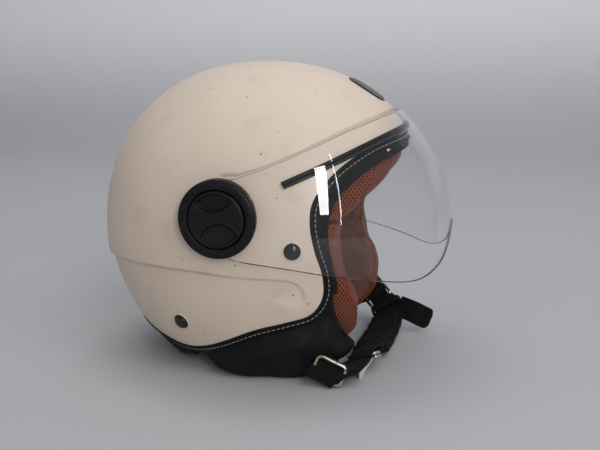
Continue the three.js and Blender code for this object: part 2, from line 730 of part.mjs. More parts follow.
add('strap_leg_front_left', rivetedLeg(rivets.front, LEG_FRONT, LEG_END_LEFT), BLACK_WEBBING);
add('strap_leg_front_right', mirrored(rivetedLeg(rivets.front, LEG_FRONT, LEG_END_RIGHT)), BLACK_WEBBING);
addPair('strap_leg_rear', rivetedLeg(rivets.rear, LEG_REAR), BLACK_WEBBING);
add('strap_ring_left', strapRing(ringLeft), CHROME);
add('strap_ring_right', strapRing(ringRight), CHROME);
add('chin_strap_long', chinStrapLong(), BLACK_WEBBING);
add('chin_pad', geometryOf(chinPad()), BLACK_WEBBING);
add('chin_strap_short', chinStrapShort(), BLACK_WEBBING);
add('d_ring_inner', dRing([-55, -81.5, 12]), CHROME);
add('d_ring_outer', dRing([-53.5, -82.5, 8.6]), CHROME);
add('strap_tail', strapTail(), BLACK_WEBBING);
add('strap_keeper', geometryOf(strapKeeper()), BLACK_WEBBING);

export default GROUP;
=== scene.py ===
"""Open face motorcycle helmet with a bubble visor: every visible piece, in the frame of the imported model.

Lengths are millimetres; MM turns them into metres when a mesh is made. The wearer looks along -Y,
the wearer's left is +X, and z = 0 is the table. As in the design, each layer of the helmet lies on an
egg-shaped body and its rim is an outline drawn in side view (y, z).
"""

import math

import bmesh
import bpy
import numpy as np
from mathutils import Matrix, Vector


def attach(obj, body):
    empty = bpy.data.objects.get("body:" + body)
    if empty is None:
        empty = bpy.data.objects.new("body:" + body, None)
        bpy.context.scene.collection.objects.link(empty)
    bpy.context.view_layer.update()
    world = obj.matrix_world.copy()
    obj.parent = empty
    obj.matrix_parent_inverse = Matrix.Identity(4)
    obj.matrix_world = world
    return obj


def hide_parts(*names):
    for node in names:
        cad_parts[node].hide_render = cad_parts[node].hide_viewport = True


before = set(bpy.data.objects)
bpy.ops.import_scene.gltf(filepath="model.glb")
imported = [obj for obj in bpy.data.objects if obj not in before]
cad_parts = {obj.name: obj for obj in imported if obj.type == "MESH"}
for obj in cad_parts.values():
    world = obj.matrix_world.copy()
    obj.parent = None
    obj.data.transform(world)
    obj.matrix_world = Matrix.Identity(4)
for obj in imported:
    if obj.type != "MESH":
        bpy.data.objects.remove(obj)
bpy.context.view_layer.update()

MM = 0.001

# ---- driving dimensions, the same as the design's ------------------------------------------------

CENTRE_Y = 10.4
CENTRE_Z = 108.0
WIDTH_POWER = 2.3
RECESS_DEPTH = 1.8
LOWER_STEP_DEPTH = 3.2
SHELL_INSIDE = 6.0
HUB_Y = 18.9
HUB_Z = 134.7
HUB_RADIUS = 29.8
KNOB_RADIUS = 21.6
HUB_BOSS_COUNT = 12
VISOR_THICKNESS = 1.8
RIVETS = {"front": (-35.0, 109.3, RECESS_DEPTH), "rear": (59.7, 45.8, LOWER_STEP_DEPTH)}
RIVET_RADIUS = 5.8

SHELL_EDGE = [
    (-150, 204), (-111, 191.5), (-88, 183.7), (-65, 167.5), (-50, 147.5), (-47.3, 130), (-50.5, 110),
    (-56, 90), (-55.5, 72), (-46, 58), (-27, 51.5), (0, 43.3), (36, 27.4), (60, 22.3), (85, 27),
    (112, 35), (150, 41),
]
UPPER_STEP = [
    (50, 130), (HUB_Y, 165.5), (5.5, 166.2), (-12.3, 171.3), (-39.3, 182.5), (-72.9, 198.3), (-95, 207),
    (-150, 226),
]
LOWER_STEP = [
    (170, 90), (107, 92.5), (47, 91.6), (8, 88), (-28, 86.4), (-38.5, 82.4), (-42.4, 74), (-41, 60),
    (-41, 30),
]
VISOR_UPPER = [
    (HUB_Y, 161.7), (6, 164), (-12.3, 170), (-39.3, 181.2), (-72.9, 197), (-95, 205.7), (-170, 228),
]
VISOR_LOWER = [
    (-170, 150), (-151.2, 136), (-150.3, 126.5), (-149.45, 117.6), (-148.6, 109), (-146.8, 100),
    (-142.5, 90), (-134, 82.8), (-122, 80.5), (-100, 84.5), (-63.4, 91.6), (-34.6, 97), (2.8, 102.3), (HUB_Y, 107.7),
]


# ---- shapes: eggs, curves and paths --------------------------------------------------------------

class Egg:
    """A closed body whose section across X is a superellipse; depth shrinks all its half axes."""

    def __init__(self, half_width, rear, front, up, down, upper_power, lower_power):
        self.half_width = half_width
        self.rear, self.front = rear, front
        self.up, self.down = up, down
        self.upper_power, self.lower_power = upper_power, lower_power

    def rho(self, depth, y, z):
        u, v = np.asarray(y) - CENTRE_Y, np.asarray(z) - CENTRE_Z
        a = np.where(u >= 0, self.rear, self.front) - depth
        b = np.where(v >= 0, self.up, self.down) - depth
        p = np.where(v >= 0, self.upper_power, self.lower_power)
        return ((np.abs(u) / a) ** p + (np.abs(v) / b) ** p) ** (1 / p)

    def half(self, depth, y, z):
        r = np.clip(self.rho(depth, y, z), 0, 1)
        return (self.half_width - depth) * (1 - r ** WIDTH_POWER) ** (1 / WIDTH_POWER)

    def normal(self, depth, points):
        """Outward unit normals at points of the body (and of its mirror half)."""
        x, y, z = points.T
        u, v = y - CENTRE_Y, z - CENTRE_Z
        a = np.where(u >= 0, self.rear, self.front) - depth
        b = np.where(v >= 0, self.up, self.down) - depth
        p = np.where(v >= 0, self.upper_power, self.lower_power)
        rho = np.maximum(self.rho(depth, y, z), 1e-6)
        k = rho ** (WIDTH_POWER - p)
        wide = self.half_width - depth
        n = np.stack([
            np.sign(x) * (np.abs(x) / wide) ** (WIDTH_POWER - 1) / wide,
            k * np.sign(u) * (np.abs(u) / a) ** (p - 1) / a,
            k * np.sign(v) * (np.abs(v) / b) ** (p - 1) / b,
        ], axis=1)
        return n / np.maximum(np.linalg.norm(n, axis=1, keepdims=True), 1e-9)


HARD = Egg(115.0, 139.2, 146.5, 141.0, 143.0, 2.17, 1.85)
SOFT = Egg(115.0, 139.2, 146.5, 141.0, 165.0, 2.17, 2.3)
BUBBLE = Egg(120.0, 160.0, 160.0, 145.4, 150.0, 1.97, 1.97)


def smooth(t):
    t = np.clip(t, 0, 1)
    return t * t * (3 - 2 * t)


def curve(points, count):
    """Catmull-Rom curve through points of any dimension, count equal steps along it."""
    p = np.asarray(points, float)
    p = np.vstack([2 * p[0] - p[1], p, 2 * p[-1] - p[-2]])
    t = np.linspace(0, len(p) - 3, 60 * len(p))
    i = np.minimum(t.astype(int), len(p) - 4)
    f = (t - i)[:, None]
    a, b, c, d = p[i], p[i + 1], p[i + 2], p[i + 3]
    fine = 0.5 * (2 * b + (c - a) * f + (2 * a - 5 * b + 4 * c - d) * f ** 2 + (3 * b - a - 3 * c + d) * f ** 3)
    return spaced(fine, count)


def spaced(points, count):
    """The same polyline with count + 1 points at equal distances."""
    length = np.concatenate([[0], np.cumsum(np.linalg.norm(np.diff(points, axis=0), axis=1))])
    at = np.linspace(0, length[-1], count + 1)
    return np.stack([np.interp(at, length, points[:, k]) for k in range(points.shape[1])], axis=1)


def signed_distance(line, y, z):
    """Distance from a side-view line, positive on the right-hand side of its direction."""
    line = np.asarray(line, float)
    best = np.full(np.shape(y), 1e9)
    sign = np.ones(np.shape(y))
    for (ay, az), (by, bz) in zip(line[:-1], line[1:]):
        dy, dz = by - ay, bz - az
        t = np.clip(((y - ay) * dy + (z - az) * dz) / (dy * dy + dz * dz), 0, 1)
        distance = np.hypot(y - ay - t * dy, z - az - t * dz)
        closer = distance < best
        side = (y - ay) * dz - (z - az) * dy
        best = np.where(closer, distance, best)
        sign = np.where(closer, np.sign(side), sign)
    return best * sign


def surface_path(line, egg, depth, step, samples=3000):
    """A side-view curve laid on the +X half of an egg, cut where it leaves the body at the middle."""
    fine = curve(line, samples)
    rho = egg.rho(depth, fine[:, 0], fine[:, 1])
    inside = np.flatnonzero(rho < 1)
    first, last = inside[0], inside[-1]
    keep = [fine[k] for k in inside]
    for outer, inner, at in ((first - 1, first, 0), (last + 1, last, None)):
        if 0 <= outer < len(fine):
            t = (1 - rho[inner]) / (rho[outer] - rho[inner])
            end = fine[inner] + t * (fine[outer] - fine[inner])
            keep.insert(0, end) if at == 0 else keep.append(end)
    keep = np.array(keep)
    x = egg.half(depth, keep[:, 0], keep[:, 1])
    if first > 0:
        x[0] = 0
    if last < len(fine) - 1:
        x[-1] = 0
    path = np.column_stack([x, keep])
    length = np.linalg.norm(np.diff(path, axis=0), axis=1).sum()
    return spaced(path, max(int(length / step), 2))


def both_halves(path):
    """Joins a path that starts at the middle with its mirror image: right side first, then left."""
    other = path[::-1] * [-1, 1, 1]
    return np.vstack([other[:-1], path])


def closed_loop(path):
    """A loop from a path whose two ends lie at the middle."""
    return np.vstack([path, (path * [-1, 1, 1])[-2:0:-1]])


# ---- meshes --------------------------------------------------------------------------------------

def new_object(name, points, faces, uvs=None):
    mesh = bpy.data.meshes.new(name)
    mesh.from_pydata([tuple(p * MM) for p in np.asarray(points, float)], [], [tuple(f) for f in faces])
    if uvs is not None:
        layer = mesh.uv_layers.new(name="UVMap")
        corner = np.zeros(len(mesh.loops), int)
        mesh.loops.foreach_get("vertex_index", corner)
        layer.data.foreach_set("uv", (np.asarray(uvs, float)[corner] * MM * 10).ravel())
    obj = bpy.data.objects.new(name, mesh)
    bpy.context.scene.collection.objects.link(obj)
    clean(obj)
    return obj


def clean(obj, merge=1e-6):
    """Welds doubled points, turns the faces outward and shades them smooth."""
    bm = bmesh.new()
    bm.from_mesh(obj.data)
    bmesh.ops.remove_doubles(bm, verts=bm.verts, dist=merge)
    bmesh.ops.dissolve_degenerate(bm, edges=bm.edges, dist=1e-7)
    bmesh.ops.recalc_face_normals(bm, faces=bm.faces)
    for face in bm.faces:
        face.smooth = True
    bm.to_mesh(obj.data)
    bm.free()


def grid_faces(rows, columns, wrap_rows=False, wrap_columns=False):
    """Quads over a grid of points stored row after row."""
    faces = []
    for r in range(rows if wrap_rows else rows - 1):
        below = ((r + 1) % rows) * columns
        for c in range(columns if wrap_columns else columns - 1):
            across = (c + 1) % columns
            faces.append((r * columns + c, r * columns + across, below + across, below + c))
    return faces


def frames_along(points, normals, closed):
    """Tangent, normal and side direction along a path; the side points into the helmet's opening."""
    if closed:
        tangent = np.roll(points, -1, axis=0) - np.roll(points, 1, axis=0)
    else:
        tangent = np.gradient(points, axis=0)
    tangent /= np.linalg.norm(tangent, axis=1, keepdims=True)
    normals = normals - (normals * tangent).sum(1, keepdims=True) * tangent
    normals /= np.linalg.norm(normals, axis=1, keepdims=True)
    return tangent, normals, np.cross(tangent, normals)


def sweep(name, points, normals, profile, closed=False):
    """Carries a closed profile of (outward, sideways) points along a path."""
    _, out, side = frames_along(points, normals, closed)
    profile = np.asarray(profile, float)
    count = len(profile)
    body = (points[:, None] + profile[None, :, :1] * out[:, None] + profile[None, :, 1:] * side[:, None])
    body = body.reshape(-1, 3)
    faces = grid_faces(len(points), count, closed, True)
    if not closed:
        faces += [tuple(range(count)), tuple(range(len(body) - count, len(body)))]
    steps = np.concatenate([[0], np.cumsum(np.linalg.norm(np.diff(points, axis=0), axis=1))])
    around = np.concatenate([[0], np.cumsum(np.linalg.norm(np.diff(profile, axis=0), axis=1))])
    uvs = np.stack(np.meshgrid(steps, around, indexing="ij"), axis=-1).reshape(-1, 2)
    return new_object(name, body, faces, uvs)


def rounded_box(width, height, radius, corner=4):
    """Outline of a rounded rectangle, (across its height, along its width)."""
    points = []
    for quarter in range(4):
        sx = 1 if quarter in (0, 3) else -1
        sy = 1 if quarter in (0, 1) else -1
        for k in range(corner + 1):
            angle = math.radians(90 * quarter + 90 * k / corner)
            points.append((sy * (height / 2 - radius) + radius * math.sin(angle),
                           sx * (width / 2 - radius) + radius * math.cos(angle)))
    return points


class Region:
    """A side-view region seen whole from its origin, to be covered by rays on the +X half of an egg."""

    def __init__(self, egg, inside, origin):
        self.egg, self.inside, self.origin = egg, inside, origin
        self.angles = None

    def point(self, angle, r):
        return self.origin[0] + r * np.cos(angle), self.origin[1] + r * np.sin(angle)

    def reach(self, angle, depth):
        """How far each ray runs before it leaves the region or the body."""

        def holds(angle, r):
            y, z = self.point(angle, r)
            return self.inside(y, z) & (self.egg.rho(depth(y, z), y, z) < 1)

        r = np.linspace(1, 321, 161)
        ok = holds(angle[:, None], r[None, :])
        first = np.argmin(ok, axis=1)
        low, high = r[np.maximum(first - 1, 0)], r[first]
        for _ in range(24):
            middle = (low + high) / 2
            good = holds(angle, middle)
            low, high = np.where(good, middle, low), np.where(good, high, middle)
        return low

    def spread(self, depth, rays):
        """Chooses ray angles that meet the rim at equal distances."""
        probe = np.linspace(0, 2 * np.pi, 1441)
        y, z = self.point(probe, self.reach(probe, depth))
        rim = np.column_stack([self.egg.half(depth(y, z), y, z), y, z])
        along = np.concatenate([[0], np.cumsum(np.linalg.norm(np.diff(rim, axis=0), axis=1) + 0.02)])
        self.angles = np.interp(np.linspace(0, along[-1], rays + 1)[:-1], along, probe)

    def patch(self, depth, rings, fine=240):
        """Points (rays, rings + 1, 3) from the origin out to the rim."""
        r = self.reach(self.angles, depth)
        k = np.linspace(0, 1, fine)
        out = r[:, None] * (1 - (1 - k[None, :]) ** 2)
        y, z = self.point(self.angles[:, None], out)
        x = self.egg.half(depth(y, z), y, z)
        at_middle = self.egg.rho(depth(y[:, -1], z[:, -1]), y[:, -1], z[:, -1]) > 1 - 1e-5
        x[at_middle, -1] = 0
        points = np.stack([x, y, z], axis=2)
        return np.stack([spaced(line, rings) for line in points])


def constant(value):
    return lambda y, z: np.full(np.shape(y), float(value))


def patch_shell(name, outer, inner, round_edge=0.0):
    """A closed skin from an outer and an inner patch with matching rims, on both sides of the helmet."""
    rays = len(outer)
    points, faces = [], []

    def put(patch):
        start = sum(len(p) for p in points)
        points.append(patch.reshape(-1, 3))
        rings = patch.shape[1]
        faces.extend(tuple(start + v for v in f) for f in grid_faces(rays, rings, True, False))
        return start, rings

    start_out, rings_out = put(outer)
    start_in, rings_in = put(inner)
    rim_out = [start_out + k * rings_out + rings_out - 1 for k in range(rays)]
    rim_in = [start_in + k * rings_in + rings_in - 1 for k in range(rays)]
    free = np.abs(outer[:, -1, 0]) > 1e-6
    middle = (outer[:, -1] + inner[:, -1]) / 2
    away = outer[:, -1] - outer[:, -2]
    away /= np.maximum(np.linalg.norm(away, axis=1, keepdims=True), 1e-9)
    middle = middle + away * round_edge
    middle[~free, 0] = 0
    middle[:, 0] = np.maximum(middle[:, 0], 0)
    start_mid = sum(len(p) for p in points)
    points.append(middle)
    for k in range(rays):
        n = (k + 1) % rays
        if free[k] or free[n]:
            faces.append((rim_out[k], rim_out[n], start_mid + n, start_mid + k))
            faces.append((start_mid + k, start_mid + n, rim_in[n], rim_in[k]))
    body = np.vstack(points)
    count = len(body)
    body = np.vstack([body, body * [-1, 1, 1]])
    faces = faces + [tuple(count + v for v in reversed(f)) for f in faces]
    obj = new_object(name, body, faces)
    clean(obj, 2e-5)
    return obj


def polygon_test(outline):
    """A test for being inside a side-view outline."""
    ring = np.asarray(outline, float)

    def inside(y, z):
        result = np.zeros(np.shape(y), bool)
        for (ay, az), (by, bz) in zip(ring, np.roll(ring, -1, axis=0)):
            if az == bz:
                continue
            crosses = (az > z) != (bz > z)
            result ^= crosses & (y < (by - ay) * (z - az) / (bz - az) + ay)
        return result

    return inside


# ---- materials -----------------------------------------------------------------------------------

class Shader:
    """A Principled material with short calls for the nodes that colour, roughen and emboss it."""

    def __init__(self, name, roughness=0.5, metallic=0.0, **sockets):
        self.material = bpy.data.materials.new(name)
        self.material.use_nodes = True
        self.nodes = self.material.node_tree.nodes
        self.links = self.material.node_tree.links
        self.bsdf = self.nodes["Principled BSDF"]
        self.bsdf.inputs["Roughness"].default_value = roughness
        self.bsdf.inputs["Metallic"].default_value = metallic
        for key, value in sockets.items():
            self.bsdf.inputs[key.replace("_", " ")].default_value = value
        self.height = None

    def node(self, kind, inputs=None, **settings):
        node = self.nodes.new("ShaderNode" + kind)
        for key, value in settings.items():
            setattr(node, key, value)
        for key, value in (inputs or {}).items():
            if isinstance(value, bpy.types.NodeSocket):
                self.links.new(value, node.inputs[key])
            else:
                node.inputs[key].default_value = value
        return node

    def place(self, scale=(1, 1, 1), uv=False, turn=0.0):
        """Object or UV coordinates, stretched and turned."""
        source = self.node("TexCoord").outputs["UV" if uv else "Object"]
        mapping = self.node("Mapping", {"Vector": source, "Scale": scale, "Rotation": (0, 0, turn)})
        return mapping.outputs["Vector"]

    def noise(self, scale, detail=2.0, vector=None, roughness=0.5):
        vector = vector or self.place()
        node = self.node("TexNoise", {"Vector": vector, "Scale": scale, "Detail": detail, "Roughness": roughness})
        return node.outputs["Fac"]

    def voronoi(self, scale, vector=None, feature="F1", output="Distance", randomness=1.0):
        vector = vector or self.place()
        node = self.node("TexVoronoi", {"Vector": vector, "Scale": scale, "Randomness": randomness}, feature=feature)
        return node.outputs[output]

    def wave(self, scale, vector, direction="X", profile="SIN", distortion=0.0):
        node = self.node("TexWave", {"Vector": vector, "Scale": scale, "Distortion": distortion},
                         bands_direction=direction, wave_profile=profile)
        return node.outputs["Fac"]

    def math(self, operation, a, b=0.0, c=0.0):
        node = self.node("Math", operation=operation)
        for socket, value in zip(node.inputs, (a, b, c)):
            if isinstance(value, bpy.types.NodeSocket):
                self.links.new(value, socket)
            else:
                socket.default_value = value
        return node.outputs[0]

    def ramp(self, value, low, high, to_low=0.0, to_high=1.0):
        node = self.node("MapRange", {"Value": value, "From Min": low, "From Max": high,
                                      "To Min": to_low, "To Max": to_high}, interpolation_type="SMOOTHSTEP")
        return node.outputs["Result"]

    def mix(self, factor, a, b):
        node = self.node("Mix", data_type="RGBA")
        for socket, value in ((node.inputs[0], factor), (node.inputs[6], a), (node.inputs[7], b)):
            if isinstance(value, bpy.types.NodeSocket):
                self.links.new(value, socket)
            else:
                socket.default_value = value if not isinstance(value, tuple) else (*value, 1.0)
        return node.outputs[2]

    def color(self, value):
        if isinstance(value, bpy.types.NodeSocket):
            self.links.new(value, self.bsdf.inputs["Base Color"])
        else:
            self.bsdf.inputs["Base Color"].default_value = (*value, 1.0)
        return self

    def rough(self, value):
        self.links.new(value, self.bsdf.inputs["Roughness"])
        return self

    def emboss(self, height, distance, strength=1.0):
        """Adds a layer of relief, distance in millimetres."""
        inputs = {"Height": height, "Distance": distance * MM, "Strength": strength}
        if self.height is not None:
            inputs["Normal"] = self.height
        self.height = self.node("Bump", inputs).outputs["Normal"]
        self.links.new(self.height, self.bsdf.inputs["Normal"])
        return self


def painted_shell():
    s = Shader("cream_paint", roughness=0.42, Specular_IOR_Level=0.35, Coat_Weight=0.12, Coat_Roughness=0.22)
    cloud = s.ramp(s.noise(9, 3), 0.35, 0.65)
    base = s.mix(cloud, (0.655, 0.535, 0.435), (0.70, 0.585, 0.485))
    grime = s.ramp(s.noise(42, 4), 0.56, 0.75)
    base = s.mix(s.math("MULTIPLY", grime, 0.28), base, (0.50, 0.39, 0.30))
    cells = s.node("TexVoronoi", {"Vector": s.place(), "Scale": 95.0}, feature="F1")
    chosen = s.ramp(cells.outputs["Color"], 0.54, 0.58)
    patchy = s.ramp(s.noise(16, 2), 0.46, 0.62)
    dot = s.ramp(cells.outputs["Distance"], 0.055, 0.10, 1.0, 0.0)
    speck = s.math("MULTIPLY", s.math("MULTIPLY", dot, chosen), patchy)
    base = s.mix(s.math("MULTIPLY", speck, 0.85), base, (0.085, 0.06, 0.045))
    streak = s.place(scale=(1, 0.16, 1.6), turn=0.6)
    scratch = s.math("MULTIPLY", s.ramp(s.noise(160, 1, streak), 0.70, 0.74), s.ramp(s.noise(14, 2), 0.52, 0.66))
    base = s.mix(s.math("MULTIPLY", scratch, 0.3), base, (0.36, 0.28, 0.21))
    s.color(base)
    s.rough(s.math("ADD", s.ramp(s.noise(30, 3), 0.3, 0.7, 0.36, 0.5), s.math("MULTIPLY", scratch, 0.2)))
    s.emboss(s.noise(650, 1), 0.05, 0.35)
    return s.material


def leatherette(name, tint=(0.0055, 0.0055, 0.0068), grain=0.10, roughness=0.5):
    s = Shader(name, roughness=roughness, Specular_IOR_Level=0.16)
    s.color(s.mix(s.ramp(s.noise(45, 3), 0.35, 0.7), tint, tuple(1.6 * c for c in tint)))
    s.rough(s.ramp(s.noise(90, 3), 0.3, 0.7, roughness - 0.08, roughness + 0.1))
    s.emboss(s.ramp(s.voronoi(1150, feature="DISTANCE_TO_EDGE"), 0.0, 0.16), grain)
    s.emboss(s.noise(240, 4), 0.22, 0.5)
    return s.material


def spacer_mesh(name, thread, hole_shade, pitch=2.6):
    """Knitted spacer mesh: rows of diamond holes through a fuzzy face; the holes are painted dark as the shade inside
    them.
    """
    s = Shader(name, roughness=0.88, Specular_IOR_Level=0.2, Sheen_Weight=0.12, Sheen_Roughness=0.5)
    uv = s.place(scale=(1, 1, 1), uv=True)
    split = s.node("SeparateXYZ", {"Vector": uv})
    turns = 2 * math.pi / (pitch * 0.01)
    across = s.math("MULTIPLY", split.outputs["X"], turns)
    along = s.math("MULTIPLY", split.outputs["Y"], turns * 0.62)
    first = s.math("SINE", s.math("ADD", across, along))
    second = s.math("SINE", s.math("SUBTRACT", across, along))
    hole = s.ramp(s.math("ADD", s.math("MULTIPLY", first, 1.2), second), 0.35, 1.0)
    fuzz = s.noise(900, 3)
    face = s.mix(s.ramp(s.noise(35, 3), 0.3, 0.7), thread, tuple(c * 0.74 for c in thread))
    face = s.mix(s.math("MULTIPLY", s.ramp(fuzz, 0.35, 0.75), 0.35), face, tuple(min(1, c * 1.5) for c in thread))
    # The holes take the dark second colour: painted shade in their depth.
    s.color(s.mix(hole, face, hole_shade))
    s.emboss(s.math("SUBTRACT", 1.0, hole), 0.7)
    s.emboss(fuzz, 0.18)
    return s.material


def brushed_fabric(name, tint):
    s = Shader(name, roughness=0.92, Specular_IOR_Level=0.15, Sheen_Weight=0.25, Sheen_Roughness=0.45)
    base = s.mix(s.ramp(s.noise(28, 4), 0.35, 0.68), tint, tuple(c * 0.72 for c in tint))
    nap = s.noise(1500, 2, s.place(scale=(1, 1, 0.35)))
    base = s.mix(s.math("MULTIPLY", s.ramp(nap, 0.4, 0.7), 0.3), base, tuple(min(1, c * 1.6) for c in tint))
    s.color(base)
    s.emboss(nap, 0.16)
    s.emboss(s.noise(120, 3), 0.5, 0.4)
    return s.material


def woven_webbing(name="black_webbing"):
    """Plain woven strap: ribs along the strap crossed by fine picks, v along, u across."""
    s = Shader(name, roughness=0.78, Specular_IOR_Level=0.2, Sheen_Weight=0.03, Sheen_Roughness=0.4)
    uv = s.place(uv=True)
    ribs = s.wave(42, uv, "Y")
    picks = s.wave(78, uv, "X")
    weave = s.math("MULTIPLY", ribs, picks)
    s.color(s.mix(s.ramp(weave, 0.1, 0.8), (0.003, 0.003, 0.0036), (0.0095, 0.0095, 0.0115)))
    s.emboss(weave, 0.35)
    s.emboss(s.noise(700, 2), 0.12)
    return s.material


def moulded_plastic(name, tint=(0.0055, 0.0055, 0.007), roughness=0.44, grain=0.08, specular=0.2):
    s = Shader(name, roughness=roughness, Specular_IOR_Level=specular)
    s.color(s.mix(s.ramp(s.noise(60, 3), 0.3, 0.7), tint, tuple(1.5 * c for c in tint)))
    s.rough(s.ramp(s.noise(140, 3), 0.3, 0.7, roughness - 0.06, roughness + 0.1))
    s.emboss(s.noise(1400, 2), grain)
    return s.material


def polished_metal(name, tint=(0.72, 0.72, 0.73), roughness=0.14):
    s = Shader(name, roughness=roughness, metallic=1.0)
    s.color(s.mix(s.ramp(s.noise(120, 3), 0.45, 0.75), tint, tuple(0.75 * c for c in tint)))
    s.rough(s.ramp(s.noise(220, 3), 0.35, 0.7, roughness - 0.05, roughness + 0.14))
    s.emboss(s.noise(500, 2), 0.02)
    return s.material


def sewing_thread():
    s = Shader("white_thread", roughness=0.7, Sheen_Weight=0.2)
    s.color(s.mix(s.noise(700, 2), (0.30, 0.29, 0.27), (0.50, 0.48, 0.45)))
    s.emboss(s.wave(900, s.place(turn=0.8), "DIAGONAL"), 0.08)
    return s.material


def foam_beads():
    s = Shader("foam_beads", roughness=0.85)
    s.color(s.mix(s.voronoi(330, feature="DISTANCE_TO_EDGE"), (0.008, 0.008, 0.008), (0.03, 0.03, 0.03)))
    s.emboss(s.ramp(s.voronoi(330, feature="DISTANCE_TO_EDGE"), 0.0, 0.2), 0.3)
    return s.material


def clear_lens():
    """Thin clear wall: each face mirrors a little, more at a glancing angle, and lets the rest through."""
    s = Shader("clear_lens", roughness=0.012, metallic=1.0)
    s.color(s.mix(s.ramp(s.noise(14, 2), 0.4, 0.7), (0.97, 0.98, 1.0), (0.92, 0.94, 0.97)))
    facing = s.node("LayerWeight", {"Blend": 0.5}).outputs["Facing"]
    glance = s.math("POWER", facing, 4.2)
    dust = s.ramp(s.noise(55, 4), 0.45, 0.8, 0.0, 0.006)
    alpha = s.math("ADD", s.math("MULTIPLY_ADD", glance, 0.62, 0.02), dust)
    s.links.new(alpha, s.bsdf.inputs["Alpha"])
    return s.material


def shaded_lens_rim():
    # Dark grey and partly see-through: painted shade for the dark line that the clear visor's rounded edge shows.
    s = Shader("lens_rim_painted_shade", roughness=0.1, Alpha=0.7)
    s.color(s.mix(s.ramp(s.noise(60, 2), 0.45, 0.6), (0.025, 0.027, 0.03), (0.12, 0.125, 0.13)))
    return s.material


def brassy_metal():
    s = Shader("worn_steel", roughness=0.22, metallic=1.0)
    s.color(s.mix(s.ramp(s.noise(75, 3), 0.44, 0.58), (0.60, 0.59, 0.56), (0.52, 0.40, 0.22)))
    s.rough(s.ramp(s.noise(90, 2), 0.35, 0.7, 0.2, 0.3))
    s.emboss(s.noise(500, 2), 0.02)
    return s.material


PAINT = painted_shell()
LEATHER = leatherette("black_leatherette")
PIPING = leatherette("black_piping", (0.0045, 0.0045, 0.0055), 0.05, 0.42)
# The second colour of each mesh is painted shade in its holes.
MESH = spacer_mesh("terracotta_mesh", (0.235, 0.058, 0.026), (0.010, 0.003, 0.002), 2.7)
CROWN_MESH = spacer_mesh("terracotta_lining", (0.20, 0.052, 0.026), (0.020, 0.007, 0.005), 2.9)
CHEEK_CLOTH = brushed_fabric("brushed_cheek_cloth", (0.175, 0.085, 0.066))
WEBBING = woven_webbing()
BLACK_PLASTIC = moulded_plastic("black_plastic")
RUBBER = moulded_plastic("seal_rubber", (0.006, 0.006, 0.007), 0.5, 0.06)
# The seal's lip: the same rubber painted lighter, a painted highlight along its edge.
RUBBER_LIP_HIGHLIGHT = moulded_plastic("seal_lip_painted_highlight", (0.022, 0.022, 0.025), 0.42, 0.05)
GLOSS_BLACK = moulded_plastic("gloss_black", (0.004, 0.004, 0.005), 0.12, 0.0, 0.5)
CHROME = brassy_metal()
ZINC = polished_metal("zinc_steel", (0.5, 0.5, 0.49), 0.34)
THREAD = sewing_thread()
PAD_CLOTH = leatherette("strap_pad_cloth", (0.0065, 0.0065, 0.0078), 0.08, 0.68)
TAG_CLOTH = brushed_fabric("pale_tag_cloth", (0.62, 0.62, 0.58))
FOAM = foam_beads()
LENS = clear_lens()
# The visor's rim material is painted shade.
LENS_RIM_SHADE = shaded_lens_rim()


def finish_piece(obj, material, body, slot, *nodes):
    """Gives a piece its material and body and hides the CAD nodes that it stands for; slot is not used."""
    if material is not None:
        obj.data.materials.clear()
        obj.data.materials.append(material)
    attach(obj, body)
    if nodes:
        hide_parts(*nodes)
    return obj


# ---- the hard shell ------------------------------------------------------------------------------

EDGE_LINE = curve(SHELL_EDGE, 160)
beyond_edge = polygon_test([*EDGE_LINE, (170, 41), (170, -60), (-220, -60), (-220, 204)])


LOWER_LINE = curve(LOWER_STEP, 80)


def shell_depth(y, z):
    """Depth of the moulded outside: a recess round the visor and a lower band, with rounded steps."""
    in_recess = smooth(0.5 - signed_distance(UPPER_STEP, y, z) / 2.4)
    recess = RECESS_DEPTH * in_recess * smooth((38 - y) / 34)
    in_band = smooth(0.5 - signed_distance(LOWER_LINE, y, z) / 2.2)
    full = np.maximum(smooth((z - 62) / 13), smooth((y + 34) / 26))
    return recess + (LOWER_STEP_DEPTH - recess) * in_band * full


def make_shell():
    region = Region(HARD, lambda y, z: ~beyond_edge(y, z), (8.0, 158.0))
    region.spread(shell_depth, 620)
    obj = patch_shell("shell", region.patch(shell_depth, 136), region.patch(constant(SHELL_INSIDE), 20), 0.6)
    return finish_piece(obj, PAINT, "helmet", "shell_paint", "outer_shell")


def turned(name, profile, segments=48, closed=False):
    """Turns a (radius, height) profile about +Z; a closed profile makes a ring."""
    angle = np.linspace(0, 2 * np.pi, segments, endpoint=False)
    profile = np.asarray(profile, float)
    points = np.stack([
        profile[:, None, 0] * np.cos(angle), profile[:, None, 0] * np.sin(angle),
        np.repeat(profile[:, None, 1], segments, axis=1),
    ], axis=2).reshape(-1, 3)
    return new_object(name, points, grid_faces(len(profile), segments, closed, True))


def put(obj, matrix):
    obj.data.transform(Matrix.Diagonal((MM, MM, MM, 1)) @ matrix @ Matrix.Diagonal((1 / MM, 1 / MM, 1 / MM, 1)))
    clean(obj)


def rivet_matrix(which, side):
    y, z, depth = RIVETS[which]
    foot = np.array([[HARD.half(depth, y, z), y, z]])
    out = Vector(HARD.normal(depth, foot)[0])
    turn = out.to_track_quat("Z", "Y").to_matrix().to_4x4()
    flip = Matrix.Diagonal((side, 1, 1, 1))
    return flip @ Matrix.Translation(Vector(foot[0])) @ turn


